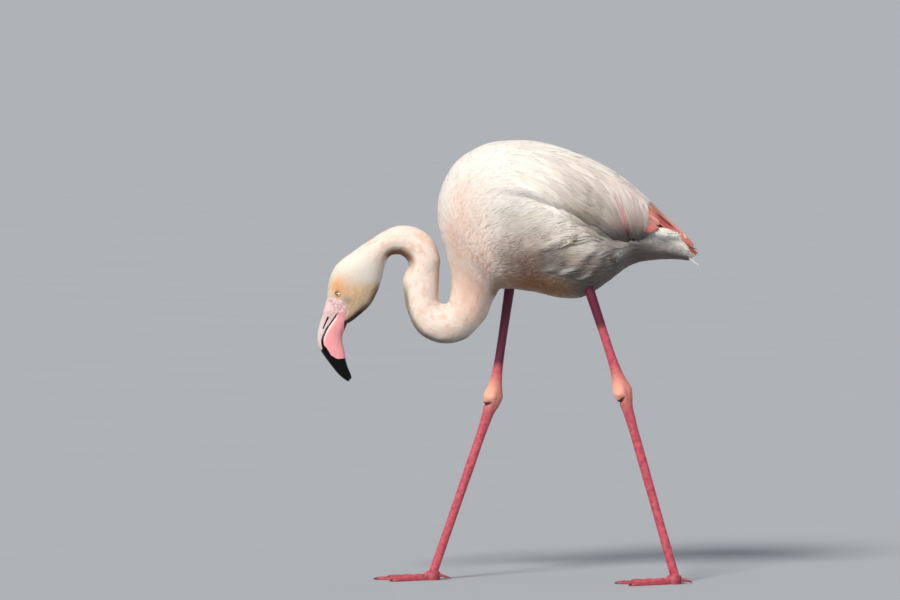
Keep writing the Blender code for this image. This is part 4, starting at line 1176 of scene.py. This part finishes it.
def feathers(name, roots, length, width, droop, height, form, material, colour=markings_and_shade, rails=3,
             thick=0.5, roll=0.0, bend=0.0, follow=1.0, seed=1):
    """One piece of coat. roots are (t, angle). length, width, thick and bend are in
    millimetres, droop and roll in radians, each one number or one for each feather.
    height is the root's and the tip's height over the coat's surface, in millimetres,
    joined by 1 - (1 - v) ^ 1.7. form is the half width along the vane, as shares, so its
    count is the count of stations. Across, a vane is an arch over a flat underside."""
    t, angle = roots
    count, stations = len(t), len(form)
    random = np.random.default_rng(seed)
    v = np.linspace(0, 1, stations)

    def one(value):
        """A column with one number for each feather."""
        return np.broadcast_to(np.asarray(value, float), (count,))[:, None]

    middle_lines = lay(t, angle, one(length)[:, 0] * MM, one(droop)[:, 0], stations, follow)
    at_t, at_a, point, normal, heading = middle_lines
    across = np.cross(heading, normal)
    root_height, tip_height = height
    ramp = one(root_height) + (one(tip_height) - one(root_height)) * (1 - (1 - v) ** 1.7)
    ramp = ramp + random.uniform(-0.25, 0.25, (count, 1)) * one(thick)
    half = one(width) / 2 * np.asarray(form)
    x = np.linspace(-1, 1, rails)
    drop = -one(thick)[..., None] * x ** 2 + np.tan(one(roll))[..., None] * half[..., None] * x
    up = (ramp[..., None] + drop) * MM
    out = (half[..., None] * x + (one(bend) * v ** 2)[..., None]) * MM
    grid = point[:, :, None] + normal[:, :, None] * up[..., None] + across[:, :, None] * out[..., None]
    middle = rails // 2
    points = np.concatenate([grid[:, 0, middle:middle + 1], grid[:, 1:-1].reshape(count, -1, 3),
                             grid[:, -1, middle:middle + 1]], axis=1)

    def spread(values):
        """Repeats a value of each station over its ring."""
        values = values.reshape(count, stations, -1)
        ring = np.repeat(values[:, 1:-1], rails, axis=1)
        return np.concatenate([values[:, :1], ring, values[:, -1:]], axis=1).reshape(-1, values.shape[-1])

    rail = np.concatenate([[0], np.tile(x, stations - 2), [0]])
    piece = mesh_object(name, points, vane_faces(stations, rails, count), material, VANE_CREASE)
    tints = np.concatenate([colour(at_t, at_a), np.ones((count, stations, 1))], axis=-1)
    set_attribute(piece, "markings_and_shade", spread(tints))
    fraction = spread(np.broadcast_to(v, (count, stations)))[:, 0]
    half_here = spread(half)[:, 0]
    offset = np.tile(rail, count) * half_here * MM
    run = fraction * np.repeat(one(length)[:, 0], len(rail)) * MM
    set_attribute(piece, "vane", np.stack([offset, run, fraction], axis=-1))
    set_attribute(piece, "shade", np.repeat(random.uniform(0, 1, count), len(rail)))
    home = np.stack([t / END, np.mod(angle, 2 * math.pi) / (2 * math.pi)], axis=-1) * 0.99 + 0.004
    patch = np.stack([fraction - 0.5, np.tile(rail, count) * 0.5], axis=-1) * TUFT_PATCH
    unwrap = np.repeat(home, len(rail), axis=0) + patch
    corner = np.empty(len(piece.data.loops), np.int32)
    piece.data.loops.foreach_get("vertex_index", corner)
    layer = piece.data.uv_layers.new(name="OFBake")
    layer.data.foreach_set("uv", unwrap[corner].astype(np.float32).ravel())
    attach(piece, "root")
    return piece


def plumage(name, dark, light, barb, rough, soft, root=0.55):
    """Feather finish: keratin barbs hooked side by side, matt, with light caught in
    them. Barbs run out from the shaft and back, a barb apart in millimetres. The base
    of a vane is darker, as painted shade where it lies under the vanes beside it, and
    each vane differs a little from the next."""
    feather = new_material(name)
    tint = add(feather, "ShaderNodeAttribute", attribute_name="markings_and_shade")
    shade = add(feather, "ShaderNodeAttribute", attribute_name="shade")
    vane = add(feather, "ShaderNodeAttribute", attribute_name="vane")
    parts = add(feather, "ShaderNodeSeparateXYZ", {0: vane.outputs["Vector"]})
    level = add(feather, "ShaderNodeMapRange", {"Value": shade.outputs["Fac"], 3: dark, 4: light})
    base = add(feather, "ShaderNodeMapRange", {"Value": parts.outputs[2], 1: 0.0, 2: 0.55, 3: root, 4: 1.0})
    value = add(feather, "ShaderNodeMath", {0: level.outputs[0], 1: base.outputs[0]}, operation="MULTIPLY")
    shown = add(feather, "ShaderNodeMix", {0: 1.0, 6: tint.outputs["Color"], 7: value.outputs[0]},
                data_type="RGBA", blend_type="MULTIPLY")
    side = add(feather, "ShaderNodeMath", {0: parts.outputs[0]}, operation="ABSOLUTE")
    slant = add(feather, "ShaderNodeMath", {0: side.outputs[0], 1: -1.3, 2: parts.outputs[1]},
                operation="MULTIPLY_ADD")
    turns = add(feather, "ShaderNodeMath", {0: slant.outputs[0], 1: 2 * math.pi / (barb * MM)},
                operation="MULTIPLY")
    wave = add(feather, "ShaderNodeMath", {0: turns.outputs[0]}, operation="SINE")
    relief = add(feather, "ShaderNodeBump", {"Strength": 0.3, "Distance": 0.0003, "Height": wave.outputs[0]})
    add(feather, "Principled BSDF", {"Base Color": shown.outputs[2], "Roughness": rough,
                                     "Normal": relief.outputs[0], "Specular IOR Level": 0.25,
                                     "Subsurface Weight": soft, "Subsurface Scale": 0.003,
                                     "Sheen Weight": 0.15, "Sheen Roughness": 0.5})
    return feather


def jitter(count, low, high, seed):
    """Random numbers between low and high, one for each feather."""
    return np.random.default_rng(seed).uniform(low, high, count)


# Contour feathers: broad soft vanes like roof tiles over trunk and folded wings. They
# stop where the coral of the tail begins.

SOFT_VANE = (0, .66, .97, 1.0, .88, .52, 0)
contour_vanes = plumage("soft contour vanes", 0.95, 1.02, 1.4, 0.8, 0.15, root=0.8)


def trunk_weight(t, angle):
    """Vanes over the trunk, the wings and the undertail, closer together towards the
    neck as they grow smaller."""
    front = step((t - place("mantle")) / (place("neck base") - place("mantle")))
    ends = step((place("neck root") + 10 * MM - t) / (25 * MM)) * step((t + 2 * MM) / (20 * MM))
    return ends * (1 + 2.2 * front) * (1 - coral_zone(t, angle))


def white_part(t, angle):
    """Whether a place is clear of the coral and of the tail's end, which slants."""
    end = np.interp(side_degrees(angle), (0, 60, 120, 180), (-1, 2, 9, 11)) * MM
    return (coral_zone(t, angle) < 0.5) & (t > end)


count = 3700
roots = scatter(count, trunk_weight)
front = step((roots[0] - place("mantle")) / (place("neck base") - place("mantle")))
turned = jitter(count, -0.10, 0.10, 11)
length = within(roots, (36 - 16 * front) * jitter(count, 0.88, 1.12, 12), turned, white_part)
contour = feathers("contour_feathers", roots, length, (15 - 7.5 * front) * jitter(count, .9, 1.1, 13),
                   turned, (-4.5, 0.0), SOFT_VANE, contour_vanes, rails=5, thick=0.22 - 0.08 * front,
                   roll=jitter(count, -.03, .03, 14), bend=jitter(count, -1.5, 1.5, 15), seed=10)
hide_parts("wing_left", "wing_right")


# Velvet: the shortest feathers, fine as plush, on head and neck. They grow longer down
# the neck, and on the breast they are narrow plumes. They stand in soft tufts.

PLUSH = (0, .85, .8, 0)
# Place along the body, and the length and width of a vane there in millimetres
VELVET_SIZE = ((place("fore breast"), 17, 4.4), (place("neck root"), 13, 3.6),
               (place("lower turn 3"), 10, 3.0), (place("rise high"), 9, 2.7), (place("nape"), 7.5, 2.4),
               (place("crown"), 6, 2.1), (place("brow"), 4.6, 1.8), (END, 3.6, 1.5))
velvet_finish = plumage("velvet of neck and head", 0.96, 1.06, 0.9, 0.85, 0.15, root=0.9)


def velvet_size(t):
    """Length and width of a vane of velvet that grows at t, in millimetres."""
    places, *sizes = zip(*VELVET_SIZE)
    return [np.interp(t, places, size) for size in sizes]


def velvet(name, count, start, end, seed):
    """One length of the velvet, between two places along the body. It keeps off the
    bare face and the eye's ring, and its tufts lie a little higher and lower."""
    def weight(t, angle):
        length, width = velvet_size(t)
        sparse = (bareness(t + 1.5 * MM, angle) + bareness(t - 1.5 * MM, angle)) / 2
        return (t > start) * (t <= end) * (1 - sparse) / (length * width)

    roots = scatter(count, weight)
    length, width = velvet_size(roots[0])
    ruffled = np.interp(roots[0], (place("brow"), place("nape")), (1.5, 0.7))
    tufted = (patches(*roots, 5.5 * MM, 3) - 0.5) * ruffled
    standing = jitter(count, -.018, .024, seed + 3) * length
    standing = standing + 0.10 * length * (patches(*roots, 8 * MM, 4) - 0.5)
    tuft = feathers(name, roots, length * jitter(count, .8, 1.2, seed),
                    width * jitter(count, .8, 1.2, seed + 1),
                    jitter(count, -.16, .16, seed + 2) + 0.3 * tufted,
                    (-0.75 * coat_depth(roots[0]), standing), PLUSH, velvet_finish,
                    thick=0.10 + 0.03 * length, roll=jitter(count, -.14, .14, seed + 4), seed=seed)


velvet("face_velvet", 16000, place("hind crown"), END, 20)
velvet("nape_velvet", 16000, place("rise high"), place("hind crown"), 30)
velvet("neck_velvet", 16000, place("lower turn 0"), place("rise high"), 40)
velvet("breast_plumes", 16000, place("shoulder"), place("lower turn 0"), 50)


# Scapulars: long narrow feathers that hang from the back over the folded wing, ever
# steeper, and end in a drape before the tail

LONG_VANE = (0, .6, .86, 1.0, .98, .85, .55, 0)
long_vanes = plumage("long scapular vanes", 0.78, 1.04, 1.6, 0.7, 0.12, root=0.7)


def scapular_tints(t, angle):
    """Plumage with a faint lilac cast at the rear, greyer over the wing's lower rear part and
    darkest at the drape's lower end, both of these painted shade.
    """
    colour = markings_and_shade(t, angle)
    rear = step((place("loin") + 25 * MM - t) / (50 * MM))
    colour = paint(colour, "#dfc6c8", rear * patches(t, angle, 14 * MM, 6) * 0.8)
    # Greyer low on the rear of the wing and darkest at the drape's foot: painted shade
    low = step((wing_share(t, angle) - 0.42) / 0.45) * step((place("mid back") + 10 * MM - t) / (70 * MM))
    colour = paint(colour, "#776b60", low * (0.45 + 0.5 * patches(t, angle, 9 * MM, 21)))
    foot = step((wing_share(t, angle) - 0.72) / 0.25) * step((place("loin") + 40 * MM - t) / (50 * MM))
    return paint(colour, "#4d4340", foot * 0.7)


def scapular_weight(t, angle):
    """The folded wing and the back beside it."""
    share = wing_share(t, angle)
    return (t > DRAPE_END + 12 * MM) * (t < place("saddle") + 25 * MM) * band(share, -0.3, 0.0, 0.86, 0.97)


def drape(t, angle):
    """Whether a place is on the wing, ahead of the drape's rear edge."""
    edge = np.interp(side_degrees(angle), (0, 25, 50, 70, 90, 105), (84, 92, 102, 98, 95, 90)) * MM
    return (t > edge) & (wing_share(t, angle) < 1.02)


count = 900
roots = scatter(count, scapular_weight)
turned = jitter(count, -.06, .06, 83)
length = within(roots, jitter(count, 56, 84, 81), turned, drape)
short = np.clip(length / 40, 0.3, 1)
scapulars = feathers("scapulars", roots, length, jitter(count, 8, 11, 82) * short ** 0.5, turned,
                     (-1.0 - 2 * (1 - short), jitter(count, 0.6, 1.6, 84) * short), LONG_VANE, long_vanes,
                     colour=scapular_tints, rails=5, thick=0.5, roll=jitter(count, -.09, .09, 85),
                     bend=jitter(count, -2, 2, 86), seed=80)


# Flank feathers: long pointed feathers that puff out below the wing's edge and sweep
# over it, then small ruffled ones in front of them

POINTED_VANE = (0, .7, .95, 1.0, .85, .6, .3, 0)


def folds(t, angle):
    """The coat's soft folds below the wing: where they are, and their long ridges, which
    rise towards the tail."""
    side, share = side_angle(angle), wing_share(t, angle)
    along = band(t, place("rump") + 6 * MM, place("loin"), place("mid back") + 8 * MM, place("mantle"))
    zone = along * band(share, 1.0, 1.12, 1.5, 2.3) * step((2.5 - side) / 0.3)
    slant = side - 5.5 * t
    ridges = patches(t * 0.13, slant, 4.4 * MM, 637) + 0.35 * patches(t * 0.4, slant, 3.2 * MM, 225)
    return zone, ridges


def billow(t, angle):
    """Height of the folds in millimetres, most just below the wing's edge."""
    zone, ridges = folds(t, angle)
    return 4.8 * zone * ridges ** 1.3


def fold_tints(t, angle):
    """Plumage, greyer with painted shade in the troughs between the folds and paler with a
    painted highlight along their ridges.
    """
    zone, ridges = folds(t, angle)
    colour = paint(markings_and_shade(t, angle), "#6f655f", zone * step((0.72 - ridges) / 0.4) * 0.65)
    return paint(colour, "#ece0d6", zone * step((ridges - 0.8) / 0.3) * 0.8)


def flank_weight(t, angle):
    """Below the wing's lower edge, from the breast to behind the thighs."""
    side, share = side_degrees(angle), wing_share(t, angle)
    along = band(t, place("rump") + 16 * MM, place("rump") + 40 * MM, place("saddle") - 20 * MM,
                 place("mantle"))
    return along * band(share, 0.99, 1.06, 1.5, 2.1) * step((146 - side) / 18)


def below_crease(t, angle):
    """Whether a place is below the wing's edge, or a little over it. The feathers end in
    an uneven line that slants forwards to the belly."""
    side = side_degrees(angle)
    end = place("rump") + np.interp(side, (98, 108, 124, 150), (2, 8, 46, 76)) * MM
    return (wing_share(t, angle) > 0.93) & (t > end + 22 * MM * (patches(t, angle, 5 * MM, 25) - 0.5))


count = 760
roots = scatter(count, flank_weight)
turned = jitter(count, -.05, .05, 93) + 0.5 * (patches(*roots, 26 * MM, 17) - 0.5)
length = within(roots, jitter(count, 38, 58, 91), turned, below_crease)
at_crease = np.exp(-((wing_share(*roots) - 1.08) / 0.12) ** 2) * step((place("saddle") - roots[0]) / 0.05)
width = jitter(count, 12, 18, 92) * np.clip(length / 30, .4, 1)
flank = feathers("flank_feathers", roots, length, width, turned,
                 (-3.0, jitter(count, 0.0, 0.7, 94) + billow(*roots) + 1.5 * at_crease), POINTED_VANE,
                 contour_vanes, colour=fold_tints, rails=5, thick=0.5,
                 roll=jitter(count, -.05, .13, 95) * np.sign(math.pi - roots[1]),
                 bend=jitter(count, -2, 2, 96), seed=90)


def ruffle_weight(t, angle):
    """The side between breast and flank."""
    side = side_degrees(angle)
    along = band(t, place("mid back") + 10 * MM, place("saddle"), place("mantle"),
                 place("shoulder") + 10 * MM)
    return along * band(side, 84, 104, 128, 156)


count = 1000
roots = scatter(count, ruffle_weight)
ruffled = patches(*roots, 13 * MM, 22)
ruffles = feathers("ruffled_side", roots, jitter(count, 15, 25, 191), jitter(count, 4, 7, 192),
                   jitter(count, -.2, .2, 193), (-3.0, 0.1 + 1.7 * ruffled ** 2), POINTED_VANE[::2] + (0,),
                   contour_vanes, rails=5, thick=0.35,
                   roll=jitter(count, -.1, .1, 195) + 0.2 * (ruffled - 0.5),
                   bend=jitter(count, -2, 2, 196), seed=190)


# Fine plumes: loose silky barbs over the broad vanes of the trunk, which hide their
# edges as a soft bloom and all follow the same lie

PLUME = (0, .9, .7, 0)


def plume_weight(t, angle):
    """Plumes over the trunk, more on the mantle and fewer where the long feathers lie."""
    covered = band(wing_share(t, angle), 0.1, 0.3, 0.9, 1.05) * step((place("saddle") - t) / (60 * MM))
    flank = band(t, place("rump"), place("loin"), place("saddle"), place("mantle")) * band(
        wing_share(t, angle), 0.98, 1.05, 1.8, 2.6)
    ends = step((place("shoulder") + 20 * MM - t) / (30 * MM)) * step((t - 10 * MM) / (30 * MM))
    return ends * (1 - 0.9 * covered) * (1 + 1.2 * flank) * (1 - coral_zone(t, angle))


count = 16000
roots = scatter(count, plume_weight)
turned = jitter(count, -0.09, 0.09, 60)
length = within(roots, jitter(count, 17, 26, 61), turned, white_part)
plumes = feathers("trunk_plumes", roots, length, jitter(count, 1.2, 2.0, 62), turned,
                  (billow(*roots) - 1.3, billow(*roots) + jitter(count, 0.05, 0.5, 63)), PLUME,
                  contour_vanes, colour=fold_tints, thick=0.25, roll=jitter(count, -.15, .15, 64),
                  bend=jitter(count, -1.2, 1.2, 65), seed=60)


def mantle_weight(t, angle):
    """The mantle's dome between the shoulders."""
    along = band(t, place("mid back"), place("saddle"), place("shoulder"), place("fore breast"))
    return along * step((105 - side_degrees(angle)) / 40)


count = 2400
roots = scatter(count, mantle_weight)
bloom = feathers("mantle_plumes", roots, jitter(count, 18, 27, 71), jitter(count, 2.0, 3.2, 72),
                 jitter(count, -0.1, 0.1, 73), (-1.0, jitter(count, 0.1, 0.4, 74)), PLUME, contour_vanes,
                 thick=0.2, roll=jitter(count, -.08, .08, 75), bend=jitter(count, -1.2, 1.2, 76), seed=70)


# Flight feathers: stiff coral quills that run to the tail's tip with paler coverts over
# them, a few rosy coverts among the scapulars, and black primaries under the drape

FLIGHT_VANE = (0, .45, .75, .95, 1.0, .95, .82, .6, .32, 0)
coral_vanes = plumage("stiff coral flight vanes", 0.66, 1.12, 1.8, 0.5, 0.05)
black_vanes = plumage("glossy black primaries", 0.9, 1.1, 1.8, 0.4, 0.0)


def coral_tints(t, angle):
    """Coral along the quills, darker along the back's edge, deep red in the hollow under
    the coverts as painted shade, and dusky at the worn tips."""
    side = side_degrees(angle)
    colour = even_colour(t, "#e0806c")
    colour = paint(colour, "#f3b29c", np.exp(-((side - 34) / 12) ** 2) * 0.8)
    colour = paint(colour, "#b8483c", step((14 - side) / 9) * 0.75)
    # A deep red band in the hollow under the coverts is painted shade
    hollow = band(t, 46 * MM, 54 * MM, 80 * MM, 92 * MM)
    colour = paint(colour, "#84201a", np.exp(-((side - 50) / 5.5) ** 4) * hollow)
    return paint(colour, "#a08088", step((13 * MM - t) / (12 * MM)) * 0.7)


def covert_tints(t, angle):
    """Pale coral, rosier at the root and redder towards the lower edge."""
    side = side_degrees(angle)
    colour = even_colour(t, "#eba799")
    colour = paint(colour, "#d4605a", step((side - 62) / 22) * 0.7)
    return paint(colour, "#c0504c", step((t - 84 * MM) / (16 * MM)) * 0.6)


def on_coral(t, angle):
    """Whether a place is above the fluff's upper edge."""
    return side_degrees(angle) < coral_edge(t) + 4


def streak_tints(t, angle):
    """Rosy, paler towards the back and darkest under the drape's edge, where the dark red is
    painted shade.
    """
    colour = even_colour(t, "#cf989a")
    colour = paint(colour, "#e6cfcd", step((78 - side_degrees(angle)) / 18) * 0.8)
    return paint(colour, "#521a22", step((side_degrees(angle) - 78) / 18) * 0.95)


def black_tints(t, angle):
    """Black, a little brown."""
    return even_colour(t, "#1a1516")


def on_side(side, t, degrees):
    """Places on one side of the body: -1 is the left."""
    angle = np.radians(degrees)
    return t, angle if side < 0 else 2 * math.pi - angle


for side_name, side in (("left", -1), ("right", 1)):
    count = 56
    k = np.arange(count) / (count - 1)
    shuffled = (k * 11.3) % 1
    roots = on_side(side, DRAPE_END + (6 + 26 * k) * MM, 2 + 58 * shuffled)
    length = np.minimum(jitter(count, 90, 124, 101), roots[0] / MM + 3.5 - 6 * shuffled)
    quills = feathers(f"coral_quills_{side_name}", roots, length, jitter(count, 7, 9.5, 102),
                      jitter(count, -.02, .02, 103),
                      (jitter(count, -2.5, -0.5, 108), jitter(count, 1.2, 3.0, 104)), FLIGHT_VANE,
                      coral_vanes, colour=coral_tints, rails=5, thick=0.6,
                      roll=jitter(count, -.12, .12, 105), follow=0, seed=100)
    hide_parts(f"flight_feathers_{side_name}")
    count = 22
    k = np.arange(count) / (count - 1)
    roots = on_side(side, DRAPE_END + (10 + 12 * ((k * 5.7) % 1)) * MM, 50 + 38 * k)
    length = within(roots, jitter(count, 30, 42, 112) * (1 - .25 * k), 0.03, on_coral, follow=0)
    coverts = feathers(f"coral_coverts_{side_name}", roots, length, jitter(count, 4.5, 6, 113), 0.03,
                       (-1.0, jitter(count, 0.6, 1.5, 114)), LONG_VANE, coral_vanes,
                       colour=covert_tints, rails=5, thick=0.6, roll=jitter(count, -.1, .1, 115),
                       follow=0, seed=110)
    count = 9
    k = np.linspace(0, 1, count)
    roots = on_side(side, (160 - 7 * k + 5 * (k * 3 % 1)) * MM, 54 + 8 * (k * 5 % 1))
    length = within(roots, 66 + 22 * (k * 4 % 1), 0.07, drape)
    streak = feathers(f"rosy_coverts_{side_name}", roots, length, 2.4, 0.07, (1.2, 2.3), LONG_VANE,
                      long_vanes, colour=streak_tints, rails=5, thick=0.5,
                      bend=jitter(count, -1, 1, 118), seed=117)
    count = 4
    k = np.linspace(0, 1, count)
    roots = on_side(side, (152 - 14 * k) * MM, 102 + 4 * k)
    primaries = feathers(f"primaries_{side_name}", roots, 36, 6, 0.14, (-0.5, 2.2), FLIGHT_VANE,
                         black_vanes, colour=black_tints, rails=5, thick=0.5, follow=0, seed=119)


# Undertail fluff and belly: loose downy plumes, white under the tail and rounded over the
# coral's lower edge, tawny on the belly and long enough to hang over the thighs. Their
# greys below the tail are painted shade, and so is part of the belly's tawny

DOWN = (0, .8, 1.0, .7, 0)


def fluff_weight(t, angle):
    """Round the underside of the tail and up its sides to the coral."""
    side = side_degrees(angle)
    below = side - coral_edge(t) - np.interp(t, (28 * MM, 52 * MM), (7, 0))
    front = step((place("loin") - 20 * MM - t) / (30 * MM))
    return step(below / 5) * front * step((t - 3 * MM) / (10 * MM))


def tail_end(t, angle):
    """Whether a place is ahead of the tail's slanted end."""
    return t > np.interp(side_degrees(angle), (0, 60, 120, 180), (-1, 1, 7, 9)) * MM


def belly_weight(t, angle):
    """The belly between neck and thighs."""
    side = side_degrees(angle)
    along = band(t, place("loin"), place("hips"), place("neck base"), place("neck root"))
    return step((side - 118) / 25) * along


count = 5600
roots = scatter(count, fluff_weight)
near_edge = np.exp(-((side_degrees(roots[1]) - coral_edge(roots[0]) - 8) / 9) ** 2)
turned = jitter(count, -.25, .2, 123) - 0.15 * near_edge
length = within(roots, jitter(count, 15, 27, 121), turned, tail_end)
puff = (jitter(count, 0.2, 1.6, 124) + 2.0 * near_edge) * step(roots[0] / (40 * MM))
fluff = feathers("undertail_fluff", roots, length, jitter(count, 2.5, 4.5, 122), turned, (-3.0, puff), DOWN,
                 contour_vanes, thick=0.7, roll=jitter(count, -.3, .3, 125),
                 bend=jitter(count, -2, 2, 126), seed=120)

count = 4400
roots = scatter(count, belly_weight)
belly_down = feathers("belly_down", roots, jitter(count, 16, 28, 131), jitter(count, 2.5, 5, 132),
                      jitter(count, -.25, .25, 133), (-3.0, jitter(count, 0.0, 1.2, 134)), DOWN,
                      contour_vanes, thick=0.5, roll=jitter(count, -.2, .2, 135),
                      bend=jitter(count, -3, 3, 136), seed=130)


# One white quill has slipped out under the tail's tip: a bare shaft, thick at the root.

along, turn = np.linspace(0, 1, 12)[:, None], np.linspace(0, 2 * math.pi, 10, endpoint=False)[None, :]
thin = 0.9 - 0.55 * along
rings = np.stack([262 + 23.5 * along + thin * np.sin(turn) * 0.7, -9 - 3 * along + thin * np.cos(turn),
                  496 - 22 * along + 2.5 * along ** 2 + thin * np.sin(turn) * 0.7], axis=-1) * MM
# Bare keratin shaft: ivory white with a soft gloss
shaft = new_material("white quill shaft")
add(shaft, "Principled BSDF", {"Base Color": "#f2ebe0", "Roughness": 0.4})
quill = mesh_object("loose_quill", *closed_tube(rings), shaft)
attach(quill, "root")
